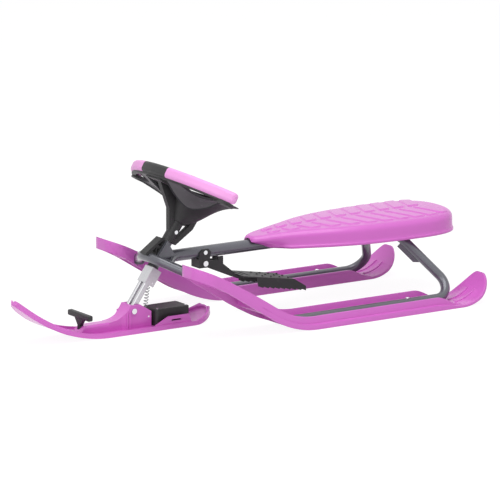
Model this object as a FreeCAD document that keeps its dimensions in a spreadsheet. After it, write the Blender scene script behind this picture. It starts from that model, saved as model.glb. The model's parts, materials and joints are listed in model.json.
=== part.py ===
import FreeCAD, Part
import math
import os
import re

import Sketcher
from FreeCAD import Placement, Rotation, Vector

# A steering sled. X points forward, Y to the rider's left, Z up.
# The origin lies on the ground, under the middle of the sled.
SIZES = {
    # whole sled
    "sled_length": 1170, "running_fit": 0.05, "clear_gap": 0.4, "overrun": 20, "pivot_share": 0.2376,
    "brake_share": 0.07, "seat_front_share": 0.0256,
    # rear skis
    "ski_offset": 186, "ski_width": 106, "ski_nose_back": 40, "ski_sole": 6, "ski_wall": 5, "ski_rim": 30,
    "ski_ledge": 9, "ski_ledge_height": 13, "ski_rise_back": 363, "ski_rise_radius": 232,
    "ski_rise_angle": 32, "ski_crown_radius": 460, "ski_tip_angle": 20, "ski_paddle_radius": 95, "ski_paddle_share": 0.9474, "ski_nose_corner": 34,
    "ski_paddle_corner": 40, "ski_rim_fade": 70, "ski_groove_width": 11, "ski_groove_depth": 2.5,
    "ski_groove_offset": 20, "ski_rib_width": 4, "ski_rib_height": 15, "ski_paddle_rib": 2.5,
    "ski_step_run": 85, "ski_nose_floor": 21,
    # bent rails that lie in the rear skis, and the cross tube under the seat
    "rail_diameter": 22, "rail_wall": 2, "rail_front_back": 328, "rail_corner_length": 65, "rail_bend": 40,
    "leg_top_length": 157, "leg_top_y": 72, "cross_z": 150, "leg_top_bend": 45, "leg_web_depth": 13,
    "leg_web_thickness": 4,
    # main beam, head tube and front hoop
    "beam_diameter": 28, "beam_wall": 2, "beam_z": 158.5, "rake": 35, "pivot_z": 47,
    "head_diameter": 26, "head_bottom": 115.5, "head_top": 178, "bush_wall": 2, "bush_flange": 2.3,
    "bush_flange_width": 3, "bush_length": 18, "column_diameter": 16, "column_wall": 2.5,
    "hoop_diameter": 22, "hoop_wall": 2, "hoop_shoulder_y": 28, "hoop_end_back": 110, "hoop_end_z": 129,
    "hoop_bend": 70, "hoop_tab": 26, "hoop_tab_thickness": 4, "hoop_height": 125,
    "brace_diameter": 13, "brace_beam_back": 128, "brace_knee_back": 92, "brace_knee_y": 38,
    "brace_knee_z": 150, "brace_hoop_share": 0.55, "gusset_thickness": 3, "gusset_flange": 9,
    "gusset_apex_back": 91, "gusset_apex_z": 199, "gusset_rear_back": 118,
    # guard in front of the head tube
    "guard_width": 25, "guard_foot": 42, "guard_top": 24, "guard_wall": 4,
    # seat
    "seat_rear_length": 19, "seat_front_width": 62, "seat_wide_length": 80, "seat_rear_width": 240,
    "seat_bottom": 150, "seat_front_top": 184, "seat_crest_back": 120, "seat_crest_top": 193,
    "seat_rear_top": 200, "seat_wall": 4, "seat_round": 12, "seat_lip": 3, "seat_lip_height": 6,
    "seat_front_corner": 24, "seat_rear_corner": 55, "pad_height": 2.2, "pad_pitch": 42, "pad_length": 32,
    "pad_sweep_share": 0.3, "pad_first_back": 95, "pad_inner_gap": 12, "pad_margin": 22, "saddle_length": 56,
    "saddle_width": 46, "saddle_back": 160,
    # wheel, in the frame of the steering column
    "rim_height": 303, "rim_front": 119, "rim_end": 33, "rim_round_share": 0.36, "rim_half_span": 198,
    "rim_width": 24, "rim_depth": 26, "rim_tilt": 6, "rim_core": 12, "rim_core_top": 8, "grip_start_angle": 10,
    "bowl_half_width": 192, "bowl_half_depth": 46, "bowl_centre": 8, "shoulder_half_width": 112,
    "shoulder_half_depth": 44, "shoulder_centre": 2, "shoulder_drop": 15, "waist_half_width": 48,
    "waist_half_depth": 40, "waist_centre": -4, "waist_share": 0.74, "stem_share": 0.447, "stem_gap": 1.2,
    "hub_half_width": 20, "hub_half_depth": 18, "rear_rib_reach": 42, "front_rib_reach": 43,
    "keel_share": 0.585, "stem_diameter": 28, "bowl_wall": 4, "spoke_width": 58, "stem_rib": 14,
    "socket_share": 0.742, "clamp_bolt": 6, "clamp_share": 0.225,
    # fork
    "leg_width": 10, "leg_depth": 13, "leg_gap": 9, "fork_leg_top": 100, "fork_sheet": 2.5,
    "bracket_bottom": 70, "bracket_top": 110, "bracket_back": 17, "washer_thickness": 2.8, "pivot_bolt": 8,
    # suspension spring
    "spring_pin": 4, "spring_pin_back": 10, "spring_pin_height": 77, "spring_foot_back": 40,
    "spring_foot_z": 30, "spring_wire": 1.6, "spring_diameter": 11, "spring_turns": 9, "spring_seat": 5,
    # front ski
    "lead_width": 96, "lead_rear_back": 212, "lead_rise_radius": 330, "lead_rise_share": 0.703,
    "lead_heel_radius": 100, "lead_heel_share": 0.66, "lead_sole": 6, "lead_rim": 11, "lead_wall": 4,
    "lead_nose_length": 135, "lead_heel_length": 62, "nose_rib_width": 4, "nose_rib_height": 2,
    "nose_rib_pitch": 13, "house_width": 41, "house_wall": 4, "house_rear_back": 47, "house_reach": 62,
    "house_top": 61, "house_shoulder_back": 16, "house_crown_ahead": 8, "house_nose_ahead": 28, "house_heel_z": 42, "house_cheek_ahead": 18, "house_rib": 2.5, "house_rib_pitch": 7.5,
    "tunnel_width": 32, "tunnel_length": 158, "tunnel_top": 27, "tab_offset": 42, "tab_thickness": 4,
    "tab_height": 29, "tab_front_back": 43, "tab_rear_back": 143, "tab_slot": 26,
    # tow handle
    "handle_length": 177, "handle_span": 92, "handle_z": 50, "handle_bar": 13, "handle_plug": 13,
    "handle_bottom": 9, "handle_waist": 9,
    # reel
    "reel_back": 100, "reel_length": 92, "reel_width": 60, "reel_base_top": 34, "reel_top": 45,
    "reel_wall": 3, "reel_corner": 8, "drum_diameter": 48, "drum_height": 18, "drum_core": 26,
    "axle_diameter": 8, "reel_spring_turns": 3,
    # brake
    "brake_pivot_z": 134, "brake_rivet_z": 160, "brake_cheek": 3, "brake_cheek_width": 32,
    "brake_cheek_low": 124, "brake_cheek_high": 168, "brake_bolt": 8, "brake_arm": 4, "brake_arm_gap": 18,
    "brake_arm_depth": 14, "pedal_front_back": 90, "pedal_front_z": 98, "pedal_rear_back": 232,
    "pedal_rear_z": 74, "pedal_tail_back": 264, "pedal_tail_z": 54, "pedal_width": 84, "pedal_sheet": 3,
    "flank_front_back": 128, "flank_front_z": 66, "flank_rear_z": 43, "tooth_count": 9, "tooth_depth": 5,
    "stud_diameter": 7, "stud_height": 2.5, "stud_pitch": 24, "stud_rows": 4, "return_wire": 1.6,
    "return_diameter": 11.8, "return_turns": 5,
    # fasteners
    "rivet_diameter": 6, "rivet_head": 10, "rivet_dome": 2, "rivet_length": 215,
    "bolt_head": 13, "bolt_head_height": 5, "small_screw": 5, "small_head": 9,
}

# Places along the sled and up the steering column, worked out in the sheet from the sizes
PLACES = {
    # measured from the sled's two ends
    "half_length": "sled_length / 2", "pivot_x": "sled_length * pivot_share",
    "brake_x": "sled_length * brake_share", "seat_front_x": "-sled_length * seat_front_share",
    "ski_paddle_start": "ski_paddle_radius * ski_paddle_share - half_length",
    "rail_corner_x": "rail_corner_length - half_length", "leg_top_x": "leg_top_length - half_length",
    "seat_rear_x": "seat_rear_length - half_length", "seat_wide_x": "seat_wide_length - half_length",
    "rivet_x": "rivet_length - half_length", "lead_rise_start": "half_length - lead_rise_radius * lead_rise_share",
    "handle_x": "half_length - handle_length", "tunnel_front_x": "half_length - tunnel_length",
    # measured from the pivot of the front ski
    "ski_nose_x": "pivot_x - ski_nose_back", "ski_rise_start": "pivot_x - ski_rise_back",
    "ski_step_x": "ski_rise_start + ski_step_run", "rail_front_x": "pivot_x - rail_front_back",
    "hoop_end_x": "pivot_x - hoop_end_back", "brace_beam_x": "pivot_x - brace_beam_back",
    "brace_knee_x": "pivot_x - brace_knee_back", "gusset_apex_x": "pivot_x - gusset_apex_back",
    "gusset_rear_x": "pivot_x - gusset_rear_back", "spring_foot_x": "pivot_x - spring_foot_back",
    "lead_rear_x": "pivot_x - lead_rear_back", "lead_heel_start": "lead_rear_x + lead_heel_radius * lead_heel_share",
    "house_rear_x": "pivot_x - house_rear_back", "house_shoulder_x": "pivot_x - house_shoulder_back",
    "house_crown_x": "pivot_x + house_crown_ahead", "house_front_x": "pivot_x + house_reach",
    "house_nose_x": "pivot_x + house_nose_ahead", "house_cheek_x": "pivot_x + house_cheek_ahead",
    "tab_front_x": "pivot_x - tab_front_back", "tab_rear_x": "pivot_x - tab_rear_back",
    "reel_x": "pivot_x - reel_back",
    # measured from the brake and from the seat's front
    "pedal_front_x": "brake_x - pedal_front_back", "pedal_rear_x": "brake_x - pedal_rear_back",
    "pedal_tail_x": "brake_x - pedal_tail_back", "flank_front_x": "brake_x - flank_front_back",
    "seat_crest_x": "seat_front_x - seat_crest_back", "saddle_x": "seat_front_x - saddle_back",
    "pad_first_x": "seat_front_x - pad_first_back",
    # up the column, between the head tube and the rim
    "stem_bottom": "head_top + bush_flange + stem_gap", "rim_foot": "rim_height - rim_depth / 2",
    "stem_run": "rim_foot - stem_bottom", "waist_height": "stem_bottom + stem_run * waist_share",
    "stem_height": "stem_bottom + stem_run * stem_share", "keel_height": "stem_bottom + stem_run * keel_share",
    "socket_top": "stem_bottom + stem_run * socket_share", "clamp_height": "stem_bottom + stem_run * clamp_share",
}

doc = FreeCAD.newDocument("steering_sled")
sheet = doc.addObject("Spreadsheet::Sheet", "sizes")
cells = {alias: str(value) for alias, value in SIZES.items()}
cells.update({alias: f"={text}" for alias, text in PLACES.items()})
for row, (alias, content) in enumerate(cells.items(), start=1):
    sheet.set(f"A{row}", alias)
    sheet.set(f"B{row}", content)
    sheet.setAlias(f"B{row}", alias)
    doc.recompute()


class Sizes:
    """The sheet's cells, read as plain numbers in millimetres or degrees."""

    def __getattr__(self, alias):
        return float(sheet.get(alias))


S = Sizes()
NODES = {}


def formula(text):
    """An expression on the sheet's cells, from one written with the cells' bare names."""
    return re.sub(r"[a-z_]+[a-z]", lambda m: "sizes." + m[0] if m[0] in cells else m[0], text)


def bind(thing, **properties):
    """Ties the named properties of a document object to the sheet."""
    for name, text in properties.items():
        thing.setExpression(name, formula(text))
    return thing


def keep(node, thing):
    """Makes a document object a sub-part under its own name."""
    thing.Label = node
    NODES[node] = thing
    return thing


def feature(node, shape):
    """A sub-part whose form is worked out from the sheet by formula."""
    thing = doc.addObject("Part::Feature", node)
    solids = shape.Solids
    thing.Shape = solids[0] if len(solids) == 1 else Part.makeCompound(solids)
    return keep(node, thing)


TURNS = {"X": Rotation(Vector(0, 1, 0), 90), "Y": Rotation(Vector(1, 0, 0), -90), "Z": Rotation()}


def cylinder(name, diameter, length, base, axis="Z"):
    """A round bar whose diameter, length and base point are expressions on the sheet."""
    bar = doc.addObject("Part::Cylinder", name)
    bar.Placement = Placement(Vector(), TURNS[axis])
    bind(bar, Radius=f"({diameter}) / 2", Height=length)
    for letter, text in zip("xyz", base):
        bar.setExpression(f"Placement.Base.{letter}", formula(text))
    return bar


def block(name, length, width, height, base):
    """A box whose sides and lowest corner are expressions on the sheet."""
    box = bind(doc.addObject("Part::Box", name), Length=length, Width=width, Height=height)
    for letter, text in zip("xyz", base):
        box.setExpression(f"Placement.Base.{letter}", formula(text))
    return box


def cut(name, base, tool):
    result = doc.addObject("Part::Cut", name)
    result.Base, result.Tool = base, tool
    return result


def fuse(name, *pieces):
    result = doc.addObject("Part::MultiFuse", name)
    result.Shapes = list(pieces)
    return result


def side_plate(name, points, thickness, middle="0"):
    """A plate cut to a side-on outline, (X, Z) expressions, and padded evenly about its middle plane."""
    body = doc.addObject("PartDesign::Body", name)
    plane = next(p for p in body.Origin.OriginFeatures if p.Role == "XZ_Plane")
    sketch = body.newObject("Sketcher::SketchObject", name + "_outline")
    sketch.AttachmentSupport = [(plane, "")]
    sketch.MapMode = "FlatFace"
    corners = [Vector(*(float(sheet.evalExpression(formula(t).replace("sizes.", ""))) for t in p)) for p in points]
    count = len(corners)
    for i in range(count):
        sketch.addGeometry(Part.LineSegment(corners[i], corners[(i + 1) % count]))
    for i in range(count):
        sketch.addConstraint(Sketcher.Constraint("Coincident", i, 2, (i + 1) % count, 1))
    for i, pair in enumerate(points):
        for kind, text, value in zip(("DistanceX", "DistanceY"), pair, corners[i]):
            index = sketch.addConstraint(Sketcher.Constraint(kind, -1, 1, i, 1, value))
            sketch.setExpression(f"Constraints[{index}]", formula(text))
    pad = body.newObject("PartDesign::Pad", name + "_pad")
    pad.Profile = sketch
    pad.SideType = "Symmetric"
    bind(pad, Length=thickness)
    body.setExpression("Placement.Base.y", formula(middle))
    return body


def slab(points, low_y, high_y):
    """A solid with a straight-sided side-on outline of (X, Z) points, between two planes across the sled."""
    corners = [Vector(x, low_y, z) for x, z in points]
    face = Part.Face(Part.makePolygon(corners + corners[:1]))
    return face.extrude(Vector(0, high_y - low_y, 0))


def bar(diameter, start, end):
    """A round bar from one point to another."""
    return Part.makeCylinder(diameter / 2, (end - start).Length, start, end - start)


def across(diameter, x, z, half_width, middle=0):
    """A round bar that lies across the sled."""
    return bar(diameter, Vector(x, middle - half_width, z), Vector(x, middle + half_width, z))


def upright(outline):
    """Everything above and below a flat outline, for trimming."""
    depth = S.sled_length / 2
    return Part.Face(outline).extrude(Vector(0, 0, 2 * depth)).translated(Vector(0, 0, -depth))


def slice_between(low_x, high_x):
    """The whole space between two planes along the sled, for trimming."""
    reach = S.sled_length
    return Part.makeBox(high_x - low_x, 2 * reach, 2 * reach, Vector(low_x, -reach, -reach))


def rounded_outline(points, radii):
    """A closed outline seen from above, (X, Y) points, with a radius at each corner."""
    corners = [Vector(x, y, 0) for x, y in points]
    count = len(corners)
    arcs = []
    for i, (corner, radius) in enumerate(zip(corners, radii)):
        back = (corners[i - 1] - corner).normalize()
        ahead = (corners[(i + 1) % count] - corner).normalize()
        half_turn = (math.pi - back.getAngle(ahead)) / 2
        reach = radius * math.tan(half_turn)
        middle = corner + (back + ahead).normalize() * (radius / math.cos(half_turn) - radius)
        arcs.append((corner + back * reach, middle, corner + ahead * reach))
    edges = []
    for i, (start, middle, end) in enumerate(arcs):
        edges.append(Part.Arc(start, middle, end).toShape())
        edges.append(Part.makeLine(end, arcs[(i + 1) % count][0]))
    return Part.Wire(edges)


def rectangle(low, high):
    """The corners of a rectangle seen from above, from its low corner round to the left."""
    (x0, y0), (x1, y1) = low, high
    return [(x0, y0), (x1, y0), (x1, y1), (x0, y1)]


class Runner:
    """The side view of a ski's sole: a curled heel, a flat run, a rising arc, a slope, and perhaps a crown."""

    def __init__(self, heel_x, heel_start, heel_radius, rise_start, rise_radius, rise_angle, nose_x,
                 crown_radius=0, tip_angle=0):
        self.heel = Vector(heel_start, 0, heel_radius)
        self.heel_turn = math.asin((heel_start - heel_x) / heel_radius)
        self.rise = Vector(rise_start, 0, rise_radius)
        self.rise_turn = math.radians(rise_angle)
        self.crown_radius = crown_radius
        self.tip_turn = math.radians(tip_angle)
        arc_end = rise_start + rise_radius * math.sin(self.rise_turn)
        crown_run = crown_radius * (math.sin(self.rise_turn) - math.sin(self.tip_turn))
        self.slope_run = (nose_x - crown_run - arc_end) / math.cos(self.rise_turn)

    def line(self, lift):
        """The edges, from heel to tip, of the line that lies a distance above the sole."""
        def on(centre, turn):
            return centre + Vector(math.sin(turn), 0, -math.cos(turn)) * (centre.z - lift)
        heel = [on(self.heel, -self.heel_turn * share) for share in (1, 0.5, 0)]
        rise = [on(self.rise, self.rise_turn * share) for share in (0, 0.5, 1)]
        edges = [Part.Arc(*heel).toShape(), Part.makeLine(heel[2], rise[0]), Part.Arc(*rise).toShape()]
        slope = Vector(math.cos(self.rise_turn), 0, math.sin(self.rise_turn))
        top = rise[2] + slope * self.slope_run
        if self.slope_run > S.clear_gap:
            edges.append(Part.makeLine(rise[2], top))
        if self.crown_radius:
            turns = (self.rise_turn, (self.rise_turn + self.tip_turn) / 2, self.tip_turn)
            normals = [Vector(-math.sin(turn), 0, math.cos(turn)) for turn in turns]
            centre = top - normals[0] * (self.crown_radius + lift)
            edges.append(Part.Arc(*(centre + normal * (self.crown_radius + lift) for normal in normals)).toShape())
        return edges

    def band(self, low, high, low_y, high_y):
        """The layer of the ski between two heights above its sole and two planes across it."""
        under, over = self.line(low), self.line(high)
        ends = [Part.makeLine(under[0].firstVertex().Point, over[0].firstVertex().Point),
                Part.makeLine(under[-1].lastVertex().Point, over[-1].lastVertex().Point)]
        face = Part.Face(Part.Wire(Part.__sortEdges__(under + over + ends)))
        return face.extrude(Vector(0, high_y - low_y, 0)).translated(Vector(0, low_y, 0))


def bent_path(points, radii):
    """Straight runs through the points, joined by tangent arcs at the inner ones."""
    edges = []
    last = points[0]
    for before, corner, after, radius in zip(points, points[1:], points[2:], radii):
        back = (before - corner).normalize()
        ahead = (after - corner).normalize()
        half_turn = (math.pi - back.getAngle(ahead)) / 2
        reach = radius * math.tan(half_turn)
        inside = (back + ahead).normalize()
        middle = corner + inside * (radius / math.cos(half_turn) - radius)
        start, end = corner + back * reach, corner + ahead * reach
        edges.append(Part.makeLine(last, start))
        edges.append(Part.Arc(start, middle, end).toShape())
        last = end
    edges.append(Part.makeLine(last, points[-1]))
    return Part.Wire(edges)


def along(path, diameter):
    """A round rod that follows a path."""
    first = path.Edges[0]
    start = first.valueAt(first.FirstParameter)
    heading = first.tangentAt(first.FirstParameter)
    circle = Part.Wire(Part.makeCircle(diameter / 2, start, heading))
    return path.makePipeShell([circle], True, False)


def tube(path, diameter, wall):
    """A hollow tube that follows a path."""
    return along(path, diameter).cut(along(path, diameter - 2 * wall))


def mirrored(shape):
    """The same piece for the sled's right side."""
    return shape.mirror(Vector(), Vector(0, 1, 0))


def arc_from(start, control, end):
    """The arc that leaves a point towards its control point and comes into the end from there."""
    chord_middle = (start + end) * 0.5
    lean = (control - start).getAngle(end - start)
    share = math.tan(lean / 2) / math.tan(lean)
    return Part.Arc(start, chord_middle + (control - chord_middle) * share, end).toShape()


def coil(name, diameter, wire, turns, height):
    """A wire wound about the Z axis, one unbroken rod on pairs of arcs, with a straight end each way."""
    radius = (diameter - wire) / 2
    rise = height / turns / (2 * math.pi)
    quarters = int(turns * 4)

    def place(turn):
        return Vector(radius * math.cos(turn), radius * math.sin(turn), rise * turn)

    def heading(turn):
        return Vector(-radius * math.sin(turn), radius * math.cos(turn), rise).normalize()

    edges = [Part.makeLine(place(0) - heading(0) * wire, place(0))]
    for quarter in range(quarters):
        low, high = quarter * math.pi / 2, (quarter + 1) * math.pi / 2
        start, end, out, home = place(low), place(high), heading(low), heading(high)
        chord, both = end - start, out + home
        a, b, c = both.dot(both) - 4, -2 * chord.dot(both), chord.dot(chord)
        reach = (-b - math.sqrt(b * b - 4 * a * c)) / (2 * a)
        knee, elbow = start + out * reach, end - home * reach
        join = (knee + elbow) * 0.5
        edges += [arc_from(start, knee, join), arc_from(join, elbow, end)]
    last = quarters * math.pi / 2
    edges.append(Part.makeLine(place(last), place(last) + heading(last) * wire))
    samples = [place(i * math.pi / 8) for i in range(quarters * 4 + 1)]
    apart = min((p - q).Length for i, p in enumerate(samples) for q in samples[i + 8:]) - wire
    print(f"{name}: least gap between turns {apart:.2f} mm")
    return along(Part.Wire(edges), wire)


# Rear skis
SKI = Runner(-S.half_length, S.ski_paddle_start, S.ski_paddle_radius, S.ski_rise_start, S.ski_rise_radius,
             S.ski_rise_angle, S.ski_nose_x, S.ski_crown_radius, S.ski_tip_angle)
RAIL_Z = S.ski_sole + S.rail_diameter / 2
HOOP_TAB_Y = S.ski_offset - S.ski_width / 2


def rear_ski():
    """The left ski about its own middle: a sole with a rail channel, a stepped rim, and a nose hollow below."""
    half = S.ski_width / 2
    step = half - S.ski_ledge
    wall = S.ski_wall
    corners = [S.ski_paddle_corner, S.ski_nose_corner, S.ski_nose_corner, S.ski_paddle_corner]
    rear, nose = -S.half_length, S.ski_nose_x
    plan = upright(rounded_outline(rectangle((rear, -half), (nose, half)), corners))
    outer = upright(rounded_outline(rectangle((rear, -half), (nose, step)), corners))
    inner = upright(rounded_outline(rectangle((rear + wall, wall - half), (nose - wall, step - wall)),
                                    [radius - wall for radius in corners]))
    tall = slab([(S.ski_paddle_start, 0), (S.ski_paddle_start, S.ski_sole),
                 (S.ski_paddle_start + S.ski_rim_fade, S.ski_rim), (S.ski_paddle_start + S.ski_rim_fade, S.half_length),
                 (S.half_length, S.half_length), (S.half_length, 0)], -half, half)
    sole = SKI.band(0, S.ski_sole, -half, half).common(plan)
    sole = sole.common(slice_between(rear, S.ski_step_x + wall))
    ceiling = S.ski_nose_floor + S.ski_sole
    floor = SKI.band(S.ski_nose_floor, ceiling, -half, half).common(outer)
    floor = floor.common(slice_between(S.ski_step_x, nose))
    riser = SKI.band(0, ceiling, -half, half).common(outer).common(slice_between(S.ski_step_x, S.ski_step_x + wall))
    wall_ring = SKI.band(0, S.ski_rim, -half, half).common(outer.cut(inner)).common(tall)
    ledge = SKI.band(0, S.ski_ledge_height, -half, half).common(plan.cut(outer)).common(tall)
    channel = slice_between(S.ski_paddle_start + S.ski_rim_fade, S.rail_front_x)
    paddle = slice_between(S.ski_paddle_corner - S.half_length - S.ski_wall, S.ski_paddle_start)
    ribs = []
    for side in (-1, 1):
        near = S.rail_diameter / 2 + S.clear_gap
        span = sorted((side * near, side * (near + S.ski_rib_width)))
        ribs.append(SKI.band(0, S.ski_rib_height, *span).common(channel))
        ribs.append(SKI.band(0, S.ski_sole + S.ski_paddle_rib, *span).common(paddle))
        under = SKI.band(S.ski_sole, ceiling, *span).common(slice_between(S.ski_step_x, nose - wall))
        ribs.append(under.common(outer))
    shape = sole.fuse([wall_ring, ledge, floor, riser] + ribs)
    pocket_ends = [Vector(x, 0, RAIL_Z) for x in (S.ski_rise_start, S.rail_front_x + S.clear_gap)]
    shape = shape.cut(bar(S.rail_diameter + 2 * S.clear_gap, *pocket_ends))
    for middle in (-S.ski_groove_offset, S.ski_groove_offset):
        edge = S.ski_groove_width / 2
        groove = SKI.band(-S.overrun, S.ski_groove_depth, middle - edge, middle + edge)
        shape = shape.cut(groove.common(slice_between(S.ski_paddle_start, S.ski_step_x - wall)))
    shape = shape.cut(across(S.rivet_diameter, S.hoop_end_x, S.hoop_end_z, half, -half))
    return shape.cut(Part.makeCylinder(S.rivet_diameter / 2, S.ski_rim, Vector(S.rivet_x, 0, 0))).removeSplitter()


left_ski = rear_ski().translated(Vector(0, S.ski_offset, 0))
feature("rear_ski_left", left_ski)
feature("rear_ski_right", mirrored(left_ski))


# Bent rails, cross tube and main beam
def rail():
    """The left rail: along the ski, round the hairpin, and up the leg to the cross tube."""
    points = [Vector(S.rail_front_x, S.ski_offset, RAIL_Z), Vector(S.rail_corner_x, S.ski_offset, RAIL_Z),
              Vector(S.leg_top_x, S.leg_top_y, S.cross_z), Vector(S.leg_top_x, S.leg_top_y / 2, S.cross_z)]
    shape = tube(bent_path(points, [S.rail_bend, S.leg_top_bend]), S.rail_diameter, S.rail_wall)
    return shape.cut(Part.makeCylinder(S.rivet_diameter / 2, 2 * S.ski_rim, Vector(S.rivet_x, S.ski_offset, 0)))


def leg_web():
    """A flat web welded under the top of the left leg."""
    low = Vector(S.rail_corner_x, S.ski_offset, RAIL_Z)
    high = Vector(S.leg_top_x, S.leg_top_y, S.cross_z)
    run = (high - low).normalize()
    aside = run.cross(Vector(0, 0, 1)).normalize()
    down = aside.cross(run).normalize() * -1
    length = (high - low).Length / 3
    start = high - run * (length + S.leg_web_depth) + down * (S.rail_diameter / 2 - S.rail_wall)
    start = start - aside * (S.leg_web_thickness / 2)
    corners = [start, start + run * length, start + run * length + down * S.leg_web_depth,
               start + run * S.leg_web_depth + down * S.leg_web_depth]
    face = Part.Face(Part.makePolygon(corners + corners[:1]))
    return face.extrude(aside * S.leg_web_thickness)


left_rail = rail()
feature("side_rail_left", left_rail)
feature("side_rail_right", mirrored(left_rail))
left_web = leg_web().cut(left_rail)
left_web = max(left_web.Solids, key=lambda s: s.Volume)
feature("leg_web_left", left_web)
feature("leg_web_right", mirrored(left_web))

cross_outer = cylinder("cross_outer", "rail_diameter", "leg_top_y", ("leg_top_x", "-leg_top_y / 2", "cross_z"), "Y")
cross_inner = cylinder("cross_inner", "rail_diameter - 2 * rail_wall", "leg_top_y",
                       ("leg_top_x", "-leg_top_y / 2", "cross_z"), "Y")
keep("rear_cross", cut("rear_cross", cross_outer, cross_inner))

STEER = Placement(Vector(S.pivot_x, 0, S.pivot_z), Rotation(Vector(0, 1, 0), -S.rake))


def steered(forward, left, height):
    """A point given along and about the steering column, in the sled's own frame."""
    return STEER.multVec(Vector(forward, left, height))


def column_bar(diameter, low, high):
    """A round bar on the steering axis between two heights."""
    return bar(diameter, steered(0, 0, low), steered(0, 0, high))


beam_front = steered(0, 0, S.head_bottom + S.head_diameter).x
beam_axis = [Vector(S.leg_top_x, 0, S.beam_z), Vector(beam_front, 0, S.beam_z)]
beam = bar(S.beam_diameter, *beam_axis).cut(bar(S.beam_diameter - 2 * S.beam_wall, *beam_axis))
cross_rod = across(S.rail_diameter, S.leg_top_x, S.cross_z, S.leg_top_y)
beam = beam.cut(column_bar(S.head_diameter, 0, S.rim_height)).cut(cross_rod)
beam = beam.cut(across(S.rivet_diameter, S.brake_x, S.brake_rivet_z, S.beam_diameter))
feature("main_beam", max(beam.Solids, key=lambda s: s.Volume))

# Head tube and its bushes, all on the steering axis
bush_bore = "column_diameter + 2 * running_fit"
bush_outside = "column_diameter + 2 * bush_wall"


def ring(name, outside, inside, low, high):
    """A ring about the steering axis between two heights above the ski's pivot."""
    outer = cylinder(name + "_outside", outside, f"{high} - ({low})", ("0", "0", low))
    inner = cylinder(name + "_bore", inside, f"{high} - ({low})", ("0", "0", low))
    return cut(name, outer, inner)


def raked(node, thing):
    """A sub-part that stands on the steering axis."""
    thing.Placement = STEER
    return keep(node, thing)


raked("head_tube", ring("head_tube", "head_diameter", bush_outside, "head_bottom", "head_top"))
for node, low, high, flange_low in (
        ("lower_bush", "head_bottom", "head_bottom + bush_length", "head_bottom - bush_flange"),
        ("upper_bush", "head_top - bush_length", "head_top", "head_top")):
    sleeve = ring(node + "_sleeve", bush_outside, bush_bore, low, high)
    flange = ring(node + "_flange", f"{bush_outside} + 2 * bush_flange_width", bush_bore, flange_low,
                  f"{flange_low} + bush_flange")
    raked(node, fuse(node, sleeve, flange))

# Front hoop, its braces, and the plates and guard of the head
HOOP = steered((S.head_diameter + S.hoop_diameter) / 2, 0, S.hoop_height)
hoop_ends = [Vector(S.hoop_end_x, side * HOOP_TAB_Y, S.hoop_end_z) for side in (-1, 1)]
hoop_shoulders = [Vector(HOOP.x, side * S.hoop_shoulder_y, HOOP.z) for side in (-1, 1)]
hoop_path = bent_path([hoop_ends[0], *hoop_shoulders, hoop_ends[1]], [S.hoop_bend, S.hoop_bend])
hoop_rod = along(hoop_path, S.hoop_diameter)
beam_rod = bar(S.beam_diameter, *beam_axis)
head_rod = column_bar(S.head_diameter, S.head_bottom, S.head_top)


def front_hoop():
    """The arched tube, with its ends flattened into tabs against the inner walls of the two skis."""
    tab_low = HOOP_TAB_Y - S.hoop_tab_thickness
    within = Part.makeBox(S.sled_length, 2 * tab_low, S.sled_length, Vector(0, -tab_low, 0))
    shape = tube(hoop_path, S.hoop_diameter, S.hoop_wall).common(within)
    for end in hoop_ends:
        corner = Vector(end.x - S.hoop_tab / 2, min(end.y, math.copysign(tab_low, end.y)), end.z - S.hoop_tab / 2)
        tab = Part.makeBox(S.hoop_tab, S.hoop_tab_thickness, S.hoop_tab, corner)
        shape = shape.fuse(tab.makeFillet(S.hoop_tab / 4, [e for e in tab.Edges if abs(e.tangentAt(0).y) > 0.5]))
    return shape.cut(across(S.rivet_diameter, S.hoop_end_x, S.hoop_end_z, HOOP_TAB_Y + S.overrun))


def brace():
    """The left brace: a round bar that bows forward from the beam's side to the hoop."""
    foot = hoop_shoulders[1] + (hoop_ends[1] - hoop_shoulders[1]) * S.brace_hoop_share
    start = Vector(S.brace_beam_x, S.beam_diameter / 4, S.beam_z)
    knee = Vector(S.brace_knee_x, S.brace_knee_y, S.brace_knee_z)
    rod = along(Part.Wire(Part.Arc(start, knee, foot).toShape()), S.brace_diameter)
    return max(rod.cut(hoop_rod).cut(beam_rod).Solids, key=lambda s: s.Volume)


def gusset():
    """The left gusset: a triangular plate beside the head tube with its front edge bent outwards."""
    inside = S.head_diameter / 2
    front = (HOOP.x - S.hoop_diameter / 2, HOOP.z)
    apex = (S.gusset_apex_x, S.gusset_apex_z)
    rear = (S.gusset_rear_x, S.beam_z)
    sheet_thick = S.gusset_thickness
    plate = slab([front, apex, (apex[0] - sheet_thick, apex[1]), rear, (front[0], S.beam_z)], inside,
                 inside + sheet_thick)
    lip = slab([front, apex, (apex[0] - sheet_thick, apex[1]), (front[0] - sheet_thick, front[1])], inside,
               inside + S.gusset_flange)
    return plate.fuse(lip).cut(beam_rod).cut(hoop_rod).removeSplitter()


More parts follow.
